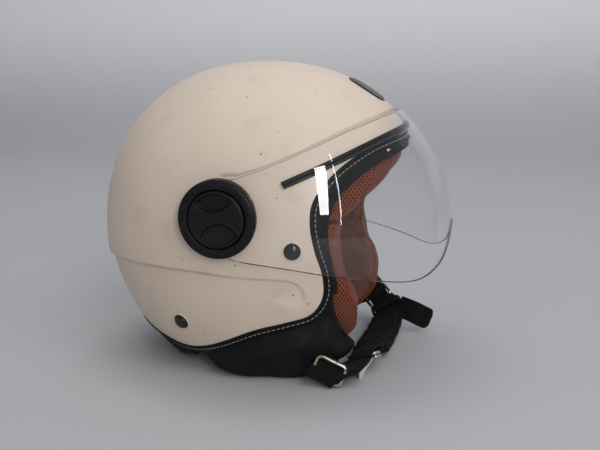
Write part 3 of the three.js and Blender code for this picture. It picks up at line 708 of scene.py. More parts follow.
def make_rivets():
    arc = [(RIVET_RADIUS * math.cos(a), 0.5 + 2.4 * math.sin(a)) for a in np.linspace(0, math.pi / 2, 12)]
    plug = [(0, -1.5), (RIVET_RADIUS - 0.2, -1.5), (RIVET_RADIUS, 0.1), *arc[:-1], (0, arc[-1][1])]
    lip = [(6.3, -1.2), (6.5, 0.1), (6.9, 0.32), (7.4, 0.2), (7.9, -0.15), (8.0, -1.2)]
    # A flat ring laid in the gap round the plug, coloured dark below as painted shadow.
    floor = [(5.0, -1.0), (5.0, -0.05), (6.4, 0.02), (6.5, -1.0)]
    for side, word in ((1, "left"), (-1, "right")):
        for which in RIVETS:
            matrix = rivet_matrix(which, side)
            name = f"strap_rivet_{which}_{word}"
            dome = turned(f"{name}_plug", plug)
            put(dome, matrix)
            finish_piece(dome, GLOSS_BLACK, "helmet", "rivet_plastic", name)
            ring = turned(f"{name}_lip", lip, 48, True)
            put(ring, matrix)
            finish_piece(ring, PAINT, "helmet", "shell_paint")
            # Dark ring in the gap between plug and lip: painted shadow of the recess, a flat ring with no depth.
            gap = turned(f"{name}_gap", floor, 48, True)
            put(gap, matrix)
            finish_piece(gap, RUBBER, "helmet", "rivet_plastic")


def make_badge():
    """A blank oval plaque on the front of the crown."""
    columns, rows = 28, 20
    u, v = np.meshgrid(np.linspace(-1, 1, columns), np.linspace(-1, 1, rows))
    square_u, square_v = u * np.sqrt(1 - 0.42 * v ** 2), v * np.sqrt(1 - 0.42 * u ** 2)
    x = 17.0 * square_u
    angle = math.radians(126.5) + square_v * math.radians(7.0)
    c, s = np.cos(angle), np.sin(angle)
    edge = np.maximum(np.abs(u), np.abs(v))
    layers = []
    for lift in (0.9 * smooth((1 - edge) / 0.14) + 0.15, np.full_like(u, -0.6)):
        depth = -lift
        r = ((np.abs(c) / (HARD.front - depth)) ** HARD.upper_power
             + (s / (HARD.up - depth)) ** HARD.upper_power) ** (-1 / HARD.upper_power)
        rho = (1 - (np.abs(x) / (HARD.half_width - depth)) ** WIDTH_POWER) ** (1 / WIDTH_POWER)
        layers.append(np.stack([x, CENTRE_Y + rho * r * c, CENTRE_Z + rho * r * s], axis=2).reshape(-1, 3))
    count = rows * columns
    top = grid_faces(rows, columns)
    border = ([k for k in range(columns)] + [r * columns + columns - 1 for r in range(1, rows)]
              + [count - 1 - k for k in range(1, columns)] + [r * columns for r in range(rows - 2, 0, -1)])
    faces = top + [tuple(count + q for q in reversed(f)) for f in top]
    faces += [(a, b, count + b, count + a) for a, b in zip(border, border[1:] + border[:1])]
    obj = new_object("blank_badge", np.vstack(layers), faces)
    return finish_piece(obj, moulded_plastic("badge_plastic", (0.02, 0.02, 0.023), 0.3, 0.02), "helmet",
                        "badge_plastic", "forehead_badge")


# ---- visor and pivots ----------------------------------------------------------------------------

def make_visor():
    outline = polygon_test([*VISOR_UPPER, *curve(VISOR_LOWER, 160)])

    def inside(y, z):
        return outline(y, z) | (np.hypot(y - HUB_Y, z - HUB_Z) < 27)

    region = Region(BUBBLE, inside, (HUB_Y, HUB_Z))
    region.spread(constant(0), 520)
    outer = region.patch(constant(0), 90)
    through = BUBBLE.normal(0, outer.reshape(-1, 3)).reshape(outer.shape)
    inner = outer - VISOR_THICKNESS * through
    obj = patch_shell("visor", outer, inner, 0.45)
    finish_piece(obj, LENS, "visor", "visor_clear", "visor_lens")
    # Faces across the thickness, and the rolled lower edge below, take the rim material painted dark as shade.
    obj.data.materials.append(LENS_RIM_SHADE)
    centre = np.array([face.center for face in obj.data.polygons]) / MM
    normal = np.array([face.normal for face in obj.data.polygons])
    across = np.abs((normal * BUBBLE.normal(VISOR_THICKNESS / 2, centre)).sum(1))
    obj.data.polygons.foreach_set("material_index", (across < 0.72).astype(np.int32))
    path = surface_path(VISOR_LOWER[:-1], BUBBLE, 0, 1.6)
    path = both_halves(path - VISOR_THICKNESS / 2 * BUBBLE.normal(0, path))
    angles = np.linspace(0, 2 * math.pi, 10, endpoint=False)
    bead = [(0.8 * math.sin(a), 0.34 * math.cos(a)) for a in angles]
    rim = sweep("visor_rolled_edge", path, BUBBLE.normal(VISOR_THICKNESS / 2, path), bead)
    finish_piece(rim, LENS_RIM_SHADE, "visor", "visor_clear")


def make_pivot_cover(side, word):
    segments = 96
    profile = [
        (KNOB_RADIUS - 0.8, 119.4), (KNOB_RADIUS - 0.8, 120.4), (KNOB_RADIUS + 0.9, 120.5),
        (KNOB_RADIUS + 0.9, 123.9), (KNOB_RADIUS + 1.3, 124.6),
        (KNOB_RADIUS + 2.0, 124.9), (KNOB_RADIUS + 4.4, 124.8), (HUB_RADIUS - 1.8, 124.5),
        (HUB_RADIUS - 0.7, 124.1), (HUB_RADIUS - 0.15, 123.3), (HUB_RADIUS, 122.2), (HUB_RADIUS, None),
    ]
    angle = np.linspace(0, 2 * np.pi, segments, endpoint=False)
    rows = []
    for radius, height in profile:
        y, z = HUB_Y + radius * np.cos(angle), HUB_Z + radius * np.sin(angle)
        x = BUBBLE.half(-0.3, y, z) if height is None else np.full(segments, height)
        rows.append(np.column_stack([x, y, z]))
    points = [np.vstack(rows)]
    faces = grid_faces(len(profile), segments, True, True)
    boss = [(0, 0.95), (1.1, 0.9), (1.75, 0.6), (2.05, 0.0), (2.05, -0.8)]
    circle = (HUB_RADIUS + KNOB_RADIUS) / 2 + 0.3
    round_boss = np.linspace(0, 2 * np.pi, 14, endpoint=False)
    for k in range(HUB_BOSS_COUNT):
        turn = math.radians(82 + k * 360 / HUB_BOSS_COUNT)
        y, z = HUB_Y + circle * math.cos(turn), HUB_Z + circle * math.sin(turn)
        start = sum(len(p) for p in points)
        for radius, height in boss:
            points.append(np.column_stack([
                np.full(14, 124.75 + height), y + radius * np.cos(round_boss), z + radius * np.sin(round_boss),
            ]))
        faces += [tuple(start + v for v in f) for f in grid_faces(len(boss), 14, False, True)]
        faces.append(tuple(range(start + 14 * len(boss) - 14, start + 14 * len(boss))))
    obj = new_object(f"pivot_ring_{word}", np.vstack(points) * [side, 1, 1], faces)
    return finish_piece(obj, BLACK_PLASTIC, "visor", "black_plastic", f"pivot_cover_{word}")


def knob_top(y, z):
    """Height of the knob's face: a flat disc with two finger scoops, deepest beside the grip."""
    r = np.hypot(y, z)
    height = 125.7 - 0.9 * smooth((r - KNOB_RADIUS + 1.6) / 1.6)
    scoop = np.zeros_like(y)
    for sign in (1, -1):
        reach = 15.6 if sign > 0 else 18.4
        oval = np.hypot((y - 2.6 * sign) / 17.0, (z - 21.0 * sign) / reach)
        wall = smooth((1.0 - oval) / 0.09)
        outward = np.clip((np.abs(z) - 5) / 14, 0, 1)
        rim = smooth((KNOB_RADIUS - 1.9 - r) / 1.2)
        lip = 0.45 * np.exp(-((oval - 1.03) / 0.035) ** 2) * (np.abs(z) < 12)
        scoop = np.maximum(scoop, wall * (3.9 - 2.2 * outward) * rim) - lip * (scoop < 0.1)
    waist = 0.5 * np.exp(-(z / 4.5) ** 2)
    return height - scoop - waist * smooth((18 - r) / 6)


def make_knob(side, word):
    segments, rings = 144, 52
    angle = np.linspace(0, 2 * np.pi, segments, endpoint=False)
    radius = np.linspace(0.2, KNOB_RADIUS - 0.1, rings)
    y, z = radius[:, None] * np.cos(angle), radius[:, None] * np.sin(angle)
    points = np.stack([knob_top(y, z), HUB_Y + y, HUB_Z + z], axis=2).reshape(-1, 3)
    foot = points[-segments:] * [0, 1, 1] + [120.9, 0, 0]
    points = np.vstack([points, foot])
    faces = grid_faces(rings + 1, segments, False, True)
    faces += [tuple(range(segments)), tuple(range(len(points) - segments, len(points)))]
    obj = new_object(f"knob_{word}", points * [side, 1, 1], faces)
    return finish_piece(obj, BLACK_PLASTIC, f"knob_{word}", "black_plastic", f"pivot_knob_{word}")


def make_seal():
    """Rubber strip across the brow: a dark body above a lip painted lighter, a painted highlight along its edge."""
    line = [(-27.8, 158.2), (-54.8, 170.0), (-80.8, 182.0), (-100.8, 190.9), (-150, 211.3)]
    path = both_halves(surface_path(line, HARD, RECESS_DEPTH, 1.5)[::-1])
    normals = HARD.normal(RECESS_DEPTH, path)
    body = [(-0.6, -2.8), (2.9, -2.8), (3.5, -2.4), (3.6, -1.6), (3.5, -0.2), (3.1, 0.25), (-0.6, 0.3)]
    lip = [(-0.5, 0.5), (2.0, 0.5), (2.6, 0.8), (2.8, 1.5), (2.5, 2.2), (1.6, 2.7), (-0.5, 2.8)]
    upper = sweep("seal_strip", path, normals, body)
    finish_piece(upper, RUBBER, "helmet", "seal_rubber", "visor_seal_strip")
    # The lip sweep takes the lighter rubber, a painted highlight.
    lower = sweep("seal_strip_lip", path, normals, lip)
    finish_piece(lower, RUBBER_LIP_HIGHLIGHT, "helmet", "seal_rubber")


# ---- edge trim and its stitches ------------------------------------------------------------------

TRIM_DEPTH = 4.2
STITCH_PITCH = 4.0
STITCH_LENGTH = 2.9


def stitches(name, points, normals, out, side_shift, closed=True, radius=0.3):
    """A row of short rounded threads beside a path."""
    _, normal, side = frames_along(points, normals, closed)
    line = points + normal * out + side * side_shift
    length = np.concatenate([[0], np.cumsum(np.linalg.norm(np.diff(line, axis=0), axis=1))])

    def at(where, values):
        return np.stack([np.interp(where, length, values[:, k]) for k in range(3)], axis=-1)

    body, faces = [], []
    shape = [(-0.5, 0.3, -0.35), (-0.42, 0.85, -0.1), (-0.2, 1, 0.08), (0.2, 1, 0.08), (0.42, 0.85, -0.1),
             (0.5, 0.3, -0.35)]
    around = np.linspace(0, 2 * np.pi, 8, endpoint=False)
    for centre in np.arange(STITCH_PITCH, length[-1] - STITCH_PITCH / 2, STITCH_PITCH):
        start = len(body)
        for along, fat, lift in shape:
            where = centre + along * STITCH_LENGTH
            p, n, s = at(where, line), at(where, normal), at(where, side)
            for a in around:
                body.append(p + n * (lift + radius * 0.8 * fat * math.sin(a)) + s * radius * fat * math.cos(a))
        faces += [tuple(start + v for v in f) for f in grid_faces(len(shape), 8, False, True)]
        faces += [tuple(range(start, start + 8)), tuple(range(start + 40, start + 48))]
    return new_object(name, np.array(body), faces)


def make_trim():
    loop = closed_loop(surface_path(SHELL_EDGE, HARD, TRIM_DEPTH, 1.6))
    normals = HARD.normal(TRIM_DEPTH, loop)
    outline = [
        (-1.2, -0.3), (0.6, -0.35), (1.6, 0.3), (1.9, 1.2), (1.6, 2.1), (0.9, 2.65), (0.55, 3.1), (0.6, 3.6),
        (0.35, 4.2), (0.6, 4.9), (0.45, 6.7), (-0.1, 7.9), (-1.0, 8.3), (-1.9, 7.6), (-2.2, 4), (-2.0, 1),
        (-1.2, -0.3),
    ]
    trim = sweep("edge_binding", loop, normals, curve(outline, 44)[:-1], True)
    finish_piece(trim, PIPING, "helmet", "trim_rubber", "edge_trim")
    thread = stitches("edge_stitches", loop, normals, 0.5, 4.2)
    finish_piece(thread, THREAD, "helmet", "trim_rubber")


# ---- leatherette: facing and skirts --------------------------------------------------------------

FACING_EDGE = [
    (-150, 190), (-106, 176), (-88, 167), (-75.5, 156.5), (-65, 144), (-60, 125), (-62, 103),
    (-66, 80), (-65, 58), (-69, 40), (-76, 28),
]


def cut_path(path, start, end):
    """The stretch of a 3-D path between the points nearest to two side-view places."""
    def nearest(place):
        return int(np.argmin(np.hypot(path[:, 1] - place[0], path[:, 2] - place[1])))
    return path[nearest(start):nearest(end) + 1]


def slab(name, sheet, thickness):
    """A closed skin from a grid of points (rows, columns, 3), thickened away from its outer side."""
    rows, columns, _ = sheet.shape
    du, dv = np.gradient(sheet, axis=1), np.gradient(sheet, axis=0)
    normal = np.cross(du, dv)
    normal /= np.maximum(np.linalg.norm(normal, axis=2, keepdims=True), 1e-9)
    if (normal[..., 0] * sheet[..., 0]).sum() < 0:
        normal = -normal
    count = rows * columns
    points = np.vstack([sheet.reshape(-1, 3), (sheet - normal * thickness).reshape(-1, 3)])
    top = grid_faces(rows, columns)
    border = ([k for k in range(columns)] + [r * columns + columns - 1 for r in range(1, rows)]
              + [count - 1 - k for k in range(1, columns)] + [r * columns for r in range(rows - 2, 0, -1)])
    faces = top + [tuple(count + q for q in reversed(f)) for f in top]
    faces += [(a, b, count + b, count + a) for a, b in zip(border, border[1:] + border[:1])]
    return new_object(name, points, faces)


def make_facing():
    """Leatherette strip from under the edge binding, sloping in to the mesh lining."""
    edge = surface_path(SHELL_EDGE, HARD, TRIM_DEPTH + 0.6, 1.0)
    edge = spaced(cut_path(edge, edge[0, 1:], (-55.8, 74)), 200)
    inner = surface_path(FACING_EDGE, HARD, 8.2, 1.0)
    inner = spaced(cut_path(inner, inner[0, 1:], (-62.7, 74)), 200)
    rows = []
    for t in np.linspace(0.1, 1.0, 16):
        row = edge + t * (inner - edge)
        bulge = 1.5 * math.sin(math.pi * t)
        rows.append(row + bulge * HARD.normal(8.0, row))
    tuck = inner - 5.0 * HARD.normal(8.2, inner)
    rows.append(tuck)
    half = np.stack(rows)
    both = np.concatenate([half[:, ::-1] * [-1, 1, 1], half[:, 1:]], axis=1)
    obj = slab("face_border_leather", both, 1.6)
    return finish_piece(obj, LEATHER, "helmet", "leatherette", "face_border")


def knotted(path, knots, counts):
    """Resamples a path so that given side-view places fall on given column numbers."""
    index = [int(np.argmin(np.hypot(path[:, 1] - y, path[:, 2] - z))) for y, z in knots]
    parts = []
    for a, b, count in zip(index[:-1], index[1:], counts):
        part = spaced(path[a:b + 1], count)
        parts.append(part if not parts else part[1:])
    return np.vstack(parts)


def skirt_depth(y, z):
    """Leatherette stands near the soft outline and dips in towards the front edge."""
    front = np.abs(signed_distance(FACING_EDGE, y, z))
    return 2.4 + 7.6 * smooth(1 - front / 13)


def make_skirt(side, word):
    edge = curve(SHELL_EDGE, 1200)
    edge_knots = [(-55.8, 74), (-54.6, 67), (-52.4, 63.5), (-47, 58.5), (-41, 56), (-33, 53.5), (-4, 44.8),
                  (22, 33.5), (47, 23.6)]
    rim = curve([(-62.7, 74), (-63, 58), (-69, 40), (-76, 28), (-72, 20), (-60, 14), (-47, 7), (-37, 1),
                 (-26, 0.4), (-4, 0.4), (12, 0.6), (26, 3.4), (38, 10.2), (47, 15)], 1600)
    rim_knots = [(-62.7, 74), (-69, 40), (-76, 28), (-66, 17), (-47, 7), (-37, 1), (-4, 0.4), (26, 3.4), (47, 15)]
    counts = [12, 14, 12, 14, 12, 20, 22, 20]
    flat = [np.column_stack([np.zeros(len(p)), p]) for p in (edge, rim)]
    top, bottom = knotted(flat[0], edge_knots, counts), knotted(flat[1], rim_knots, counts)
    rows = []
    for t in np.linspace(0.03, 1.0, 40):
        row = top + t * (bottom - top)
        y, z = row[:, 1], row[:, 2]
        loose = smooth((t * np.linalg.norm(bottom - top, axis=1) - 7.5) / 17)
        under = TRIM_DEPTH + 1.2
        x = (1 - loose) * HARD.half(under, y, z) + loose * SOFT.half(skirt_depth(y, z), y, z)
        fold = 1.9 * np.exp(-((y + 44 + 0.25 * (z - 30)) / 4.0) ** 2) * smooth((46 - z) / 20) * smooth((z - 6) / 14)
        belly = 1.4 * math.sin(math.pi * min(t * 1.1, 1)) * smooth((y + 60) / 30)
        wave = 0.8 * np.sin(y * 0.16 + 0.05 * z) * smooth((t - 0.25) / 0.4) * smooth((y + 40) / 20)
        hem = 3.2 * smooth((t - 0.88) / 0.12) ** 2
        rows.append(np.column_stack([x - fold + belly + wave - hem, y, z]))
    obj = slab(f"cheek_skirt_leather_{word}", np.stack(rows) * [side, 1, 1], 2.2)
    return finish_piece(obj, LEATHER, "helmet", "leatherette", f"cheek_skirt_{word}")


# ---- padding: cloth blown up over the plain solids -----------------------------------------------

def coordinates(obj):
    values = np.empty(len(obj.data.vertices) * 3, np.float32)
    obj.data.vertices.foreach_get("co", values)
    return values.reshape(-1, 3).astype(float) / MM


def set_coordinates(obj, points):
    obj.data.vertices.foreach_set("co", (points * MM).astype(np.float32).ravel())
    obj.data.update()


def apply_modifiers(obj):
    graph = bpy.context.evaluated_depsgraph_get()
    mesh = bpy.data.meshes.new_from_object(obj.evaluated_get(graph))
    obj.modifiers.clear()
    obj.data = mesh


def modify(obj, kind, **settings):
    modifier = obj.modifiers.new(kind.title(), kind)
    for key, value in settings.items():
        setattr(modifier, key, value)
    apply_modifiers(obj)


def vertex_normals(obj):
    values = np.empty(len(obj.data.vertices) * 3, np.float32)
    obj.data.vertex_normals.foreach_get("vector", values)
    return values.reshape(-1, 3).astype(float)


def blow_up(obj, sewn, pressure, cap, shrink=-0.03, frames=20):
    """Runs the skin as cloth under pressure, held where it is sewn, and limits how far it moves."""
    start = coordinates(obj)
    group = obj.vertex_groups.new(name="sewn")
    for index in np.flatnonzero(sewn > 0.5):
        group.add([int(index)], 1.0, "REPLACE")
    cloth = obj.modifiers.new("Cloth", "CLOTH")
    made = cloth.settings
    made.quality, made.mass = 5, 0.3
    made.tension_stiffness = made.compression_stiffness = 14
    made.shear_stiffness, made.bending_stiffness = 6, 0.35
    made.use_pressure, made.uniform_pressure_force = True, pressure
    made.effector_weights.gravity = 0
    made.shrink_min = shrink
    if sewn.max() > 0.5:
        made.vertex_group_mass = "sewn"
    cloth.point_cache.frame_start, cloth.point_cache.frame_end = 1, frames
    for number in range(1, frames + 1):
        bpy.context.scene.frame_set(number)
    apply_modifiers(obj)
    bpy.context.scene.frame_set(1)
    moved = coordinates(obj) - start
    length = np.maximum(np.linalg.norm(moved, axis=1, keepdims=True), 1e-9)
    set_coordinates(obj, start + moved / length * cap * np.tanh(length / cap))


def box_uv(obj):
    """Lays the fabric on each face along its widest plane."""
    layer = obj.data.uv_layers.new(name="UVMap")
    uvs = np.zeros((len(obj.data.loops), 2))
    points = coordinates(obj)
    for face in obj.data.polygons:
        n = np.abs(face.normal)
        keep = {0: (1, 2), 1: (0, 2), 2: (0, 1)}[int(np.argmax(n))]
        for loop in face.loop_indices:
            uvs[loop] = points[obj.data.loops[loop].vertex_index][list(keep)]
    layer.data.foreach_set("uv", (uvs * 0.01).ravel())


def cushion(node, slot, paint, sewn=None, voxel=3.8, pressure=4.0, cap=2.2,
            tuck=1.6, shrink=1.6, under=None):
    """A stuffed piece from the plain solid of a CAD node.

    sewn(points) gives 1 on the lines where the cover is stitched down; paint is a material, or a
    pair of materials with a test on face centres for where the second is used.
    """
    obj = bpy.data.objects.new(f"{node}_padding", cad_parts[node].data.copy())
    bpy.context.scene.collection.objects.link(obj)
    obj.data.materials.clear()
    modify(obj, "REMESH", mode="VOXEL", voxel_size=voxel * MM)
    modify(obj, "SMOOTH", factor=0.5, iterations=2)
    points = coordinates(obj)
    held = np.zeros(len(points)) if sewn is None else sewn(points)
    slimmer = shrink * smooth((points[:, 2] - 46) / 30) if "cheek" in node else shrink
    set_coordinates(obj, points - vertex_normals(obj) * (slimmer + held * tuck)[:, None])
    blow_up(obj, held, pressure, cap)
    if under:
        points = coordinates(obj)
        points[:, 0] = np.sign(points[:, 0]) * np.minimum(np.abs(points[:, 0]), HARD.half(under, *points.T[1:]) + 0.01)
        set_coordinates(obj, points)
    modify(obj, "SUBSURF", levels=1)
    for face in obj.data.polygons:
        face.use_smooth = True
    box_uv(obj)
    materials, test = (paint, None) if not isinstance(paint, tuple) else (paint[:2], paint[2])
    obj.data.materials.clear()
    for material in (materials if test else [materials]):
        obj.data.materials.append(material)
    if test:
        centre = np.array([face.center for face in obj.data.polygons]) / MM
        normal = np.array([face.normal for face in obj.data.polygons])
        obj.data.polygons.foreach_set("material_index", test(centre, normal).astype(np.int32))
    finish_piece(obj, None, "helmet", slot, node)
    return obj


CHEEK_SEAM = [(-113.5, 185), (-99, 157), (-76, 135), (-69, 129.5), (-67, 119.6), (-65, 105), (-68.5, 89),
              (-73.7, 80), (-78.5, 70), (-79, 55), (-74, 36), (-64, 24)]


def near(distance, width):
    return smooth(1.5 - np.abs(distance) / width)


def cheek_sewn(points):
    """The seam between the mesh border and the brushed cheek, and one across the ear."""
    x, y, z = points.T
    inner = np.abs(x) < HARD.half(22, y, z) + 8
    border = near(signed_distance(CHEEK_SEAM, y + 8, z), 2.4)
    ear = near(signed_distance([(-60, 100), (-30, 106), (20, 104)], y, z), 2.6)
    return np.where(inner, np.maximum(border, ear), 0)


def cheek_cloth(centre, normal):
    behind = signed_distance(CHEEK_SEAM, centre[:, 1] - 4, centre[:, 2]) < 0
    return behind & (normal[:, 0] * np.sign(centre[:, 0]) < -0.3)


def crown_sewn(points):
    x, y, z = points.T
    lines = [near(np.abs(x) - 24, 2.4), near(np.abs(x) - 52, 2.4)]
    across = near(y - 8, 2.4) * (np.abs(x) < 52)
    return np.maximum(np.maximum(*lines), across) * (z > 110)


def brow_sewn(points):
    return near(np.abs(points[:, 0]) - 30, 2.2)


def roll_sewn(points):
    x, _, z = points.T
    return near(np.abs(x) - 30, 2.0) * (z > 6)


def make_padding():
    for word in ("left", "right"):
        cushion(f"cheek_pad_{word}", "cheek_fabric", (MESH, CHEEK_CLOTH, cheek_cloth), cheek_sewn, 3.6,
                under=11.4)
    cushion("brow_pad", "mesh_fabric", MESH, brow_sewn, 3.4, cap=1.8, under=11.4)
    cushion("crown_liner", "mesh_fabric", CROWN_MESH, crown_sewn, 4.6, cap=2.4)
    cushion("nape_pad", "cheek_fabric", CHEEK_CLOTH, None, 3.6)
    cushion("neck_roll", "leatherette", LEATHER, roll_sewn, 3.4, pressure=5.0, cap=2.6, shrink=0.2)


# ---- straps and rings ----------------------------------------------------------------------------

STRAP_DEPTH = 8.4
STRAP_THICKNESS = 1.5
LEG_WIDTH = 17.0
WIRE_RADIUS = 1.45
RING_RIGHT = {"near": (-97, -67, 17.4), "far": (-98.5, -53.5, 9), "bar": (0, -0.91, -0.41)}
RING_LEFT = {"near": (65.6, -82.5, 21.5), "far": (72, -75.2, 31.5), "bar": (0, -0.65, 0.76)}
LEG_END_LEFT = [((82, -68, 33.5), (0, -0.8, 0.6)), ((74.8, -73.6, 32), (0, -0.65, 0.76))]
LEG_END_RIGHT = [
    ((83, -57.5, 26), (0, -1, -0.2)), ((83.5, -56.5, 15.5), (0, -0.95, -0.3)),
    ((89, -54.5, 10.5), (0, -0.91, -0.41)), ((95.8, -53.6, 9.4), (0, -0.91, -0.41)),
]
LEG_FRONT = [(-35, 113, 0), (-36, 104, 0), (-40, 92, 0), (-46, 75, 0), (-51, 60, 0), (-55, 45, 0.6), (-58, 36, 1)]
LEG_REAR = [(60.5, 48, 0), (50, 41, 0), (38, 33, 0), (22, 25.5, 0), (6, 20, 0.6), (-12, 18.5, 1), (-36, 18.5, 1)]
CHIN_ROUTE = [
    ((63.9, -85, 20.2), (0, -0.66, 0.75)), ((60, -88, 19.2), (0, -0.8, 0.6)), ((54, -90, 17.2), (0, -0.9, 0.4)),
    ((49.5, -90.1, 15.2), (0, -0.93, 0.32)), ((43, -90, 12.4), (0, -0.96, 0.25)), ((33, -89, 9), (0, -0.99, 0.14)),
    ((18, -87, 5.8), (0, -1, 0.05)), ((0, -85, 4.4), (0, -1, 0)), ((-16, -84, 4.8), (0, -1, 0.06)),
    ((-30, -83.5, 7), (0, -1, 0.16)), ((-38, -84, 8.6), (0, -1, 0.3)),
]
SHORT_ROUTE = [
    ((-94.6, -68.6, 16.4), (0, -0.91, -0.41)), ((-86, -73.5, 12.8), (-0.1, -0.95, -0.1)),
    ((-76, -76, 11.6), (-0.2, -0.95, 0.2)), ((-68, -78.6, 12), (-0.22, -0.9, 0.3)),
]
D_BAR = (-0.22, -0.9, 0.3)
TAIL_ROUTE = [
    ((49.6, -100.6, 23.3), (0.22, -0.09, 0.97)), ((45.2, -113.4, 20), (0.2, -0.2, 0.96)),
    ((44.6, -121.3, 16.5), (0.22, -0.33, 0.92)), ((45, -130, 12.4), (0.27, -0.45, 0.85)),
]
KEEPER_ACROSS = (0, -0.855, 0.52)
KEEPER_LOOP = (29.4, 8.3, 3.2)  # width, height and corner radius of its middle line
KEEPER_LENGTH = 8
KEEPER_THICKNESS = 1.4
TAIL_WIDTH = 20
TAIL_THICKNESS = 2.0
TAIL_CORNER = 5
WRAP_RIGHT = [
    ((-68, -78.6, 12), (-0.22, -0.9, 0.3)), ((-80, -75, 11.4), (-0.15, -0.95, 0.1)),
    ((-88, -71.5, 13), (-0.05, -0.93, -0.3)), ((-94.2, -65.5, 14.6), (0, -0.91, -0.41)),
    ((-98.5, -58.5, 12.5), (0, -0.91, -0.41)), ((-101.9, -54.6, 9.6), (0, -0.91, -0.41)),
    ((-101.2, -52.2, 6.4), (0, -0.91, -0.41)), ((-97.6, -51.6, 5.4), (0, -0.91, -0.41)),
    ((-94, -54, 7.8), (0, -0.91, -0.41)), ((-90, -60, 9.8), (0, -0.92, -0.38)),
]
NECK_ROUTE = CHIN_ROUTE[0:4]
RING_FILL = [((66.8, -82.2, 22.4), (0, -0.65, 0.76)), ((69.4, -79, 26.6), (0, -0.65, 0.76)),
             ((72.4, -75.6, 31), (0, -0.65, 0.76))]
RETURN_ROUTE = [
    ((-63, -80.2, 12.4), D_BAR), ((-57, -81.2, 15.6), D_BAR), ((-48, -82.4, 15.2), D_BAR),
    ((-39, -83.6, 13.2), (-0.1, -0.95, 0.3)), ((-27, -84, 11.2), (0, -1, 0.14)),
]
TAG_ROUTE = [
    ((-63, -87.5, 10), (0.2, -0.5, 0.8)), ((-69, -86, 7), (0.2, -0.5, 0.85)),
    ((-74, -83.6, 4.4), (0.25, -0.45, 0.85)), ((-78, -81, 3.6), (0.3, -0.4, 0.85)),
]
D_RINGS = {"d_ring_outer": (-55, -81.5, 12), "d_ring_inner": (-53.5, -82.5, 8.6)}
D_REACH = (0.93, -0.3, -0.2)


def unit(vectors):
    vectors = np.asarray(vectors, float)
    return vectors / np.maximum(np.linalg.norm(vectors, axis=-1, keepdims=True), 1e-9)


def strap_frames(stations, step=1.6):
    """Even points along a strap and the normals of its face."""
    rough = np.array([[*place, *(4 * unit(across))] for place, across in stations], float)
    length = np.linalg.norm(np.diff(rough[:, :3], axis=0), axis=1).sum()
    fine = curve(rough, max(int(length / step), 4))
    points = fine[:, :3]
    normals = np.cross(fine[:, 3:], np.gradient(points, axis=0))
    return points, unit(normals)


def strap(name, stations, width, thickness=STRAP_THICKNESS, radius=None):
    points, normals = strap_frames(stations)
    profile = rounded_box(width, thickness, (radius or thickness / 2) * 0.96, 3)
    return sweep(name, points, normals, profile)


def round_corners(obj, stations, width, radius):
    """Draws in the edges of a strap near its last station, for rounded corners."""
    (before, _), (end, across) = stations[-2:]
    end, across = np.array(end, float), unit(across)
    ahead = unit(end - np.array(before, float))
    points = coordinates(obj)
    aside = (points - end) @ across
    inside = np.clip(radius + (points - end) @ ahead, 0, radius)
    half = width / 2 - radius + np.sqrt(radius ** 2 - inside ** 2)
    half = np.maximum(half, width / 2 - radius)
    points += (np.clip(aside, -half, half) - aside)[:, None] * across * (inside > 0)[:, None]
    set_coordinates(obj, points)


def folded_end(name, centre, bar, toward, width, reach, gap=WIRE_RADIUS + 0.95):
    """Webbing turned round a bar: two layers that close up towards the strap."""
    centre, bar = np.array(centre, float), unit(bar)
    toward = np.array(toward, float)
    toward = unit(toward - (toward @ bar) * bar)
    lift = np.cross(bar, toward)
    stations = []
    for t in (1.0, 0.66, 0.3):
        stations.append((centre + toward * reach * t + lift * (0.95 + (gap - 0.95) * (1 - t) ** 0.6), bar))
    for degrees in (60, 30, 0, -30, -60):
        a = math.radians(degrees)
        stations.append((centre - toward * gap * math.cos(a) + lift * gap * math.sin(a), bar))
    for t in (0.3, 0.66, 1.0):
        stations.append((centre + toward * reach * t - lift * (0.95 + (gap - 0.95) * (1 - t) ** 0.6), bar))
    return strap(name, stations, width, 1.35)


def wire_loop(name, flat, centre, along, up, radius):
    """A closed loop of round wire through flat points in the plane of two directions."""
    along = unit(along)
    out = unit(np.cross(along, up))
    up = np.cross(out, along)
    flat = np.asarray(flat, float)
    points = np.array(centre, float) + flat[:, :1] * along + flat[:, 1:] * up
    ring = [(radius * math.sin(a), radius * math.cos(a)) for a in np.linspace(0, 2 * math.pi, 16, endpoint=False)]
    return sweep(name, points, np.repeat(out[None], len(points), axis=0), ring, True)


def rounded_loop(width, height, radius, corner=8, step=2.0):
    """Points round a rounded rectangle, width along the first direction."""
    corners = []
    for quarter in range(4):
        sx = 1 if quarter in (0, 3) else -1
        sy = 1 if quarter in (0, 1) else -1
        for k in range(corner + 1):
            a = math.radians(90 * (quarter + k / corner))
            corners.append((sx * (width / 2 - radius) + radius * math.cos(a),
                            sy * (height / 2 - radius) + radius * math.sin(a)))
    corners.append(corners[0])
    total = np.linalg.norm(np.diff(corners, axis=0), axis=1).sum()
    return spaced(np.array(corners), int(total / step * 2))[:-1]


def leg_stations(route, free_end, side):
    def on_path(y, z, leave):
        held, loose = HARD.half(STRAP_DEPTH, y, z), SOFT.half(STRAP_DEPTH, y, z)
        return np.array([held + leave * (loose - held), y, z], float)

    stations = []
    for i, (y, z, leave) in enumerate(route):
        centre = on_path(y, z, leave)
        following, previous = route[min(i + 1, len(route) - 1)], route[max(i - 1, 0)]
        along = on_path(*following[:2], leave) - on_path(*previous[:2], leave)
        out = [1, centre[0] - on_path(y + 1, z, leave)[0], centre[0] - on_path(y, z + 1, leave)[0]]
        stations.append((centre, unit(np.cross(out, along))))
    sense = np.sign(stations[-1][1][1])
    stations += [(np.array(p, float), np.array(a) * sense * np.sign(a[1])) for p, a in free_end]
    flip = np.array([side, 1, 1])
    return [(p * flip, a * flip) for p, a in stations]


def thread_row(name, stations, side_shift, out, body="helmet", thread=None):
    """Stitches along a strap, beside its middle line and raised by out."""
    points, normals = strap_frames(stations, 1.0)
    obj = stitches(name, points, normals, out, side_shift, False, 0.38)
    return finish_piece(obj, thread or THREAD, body, "webbing")


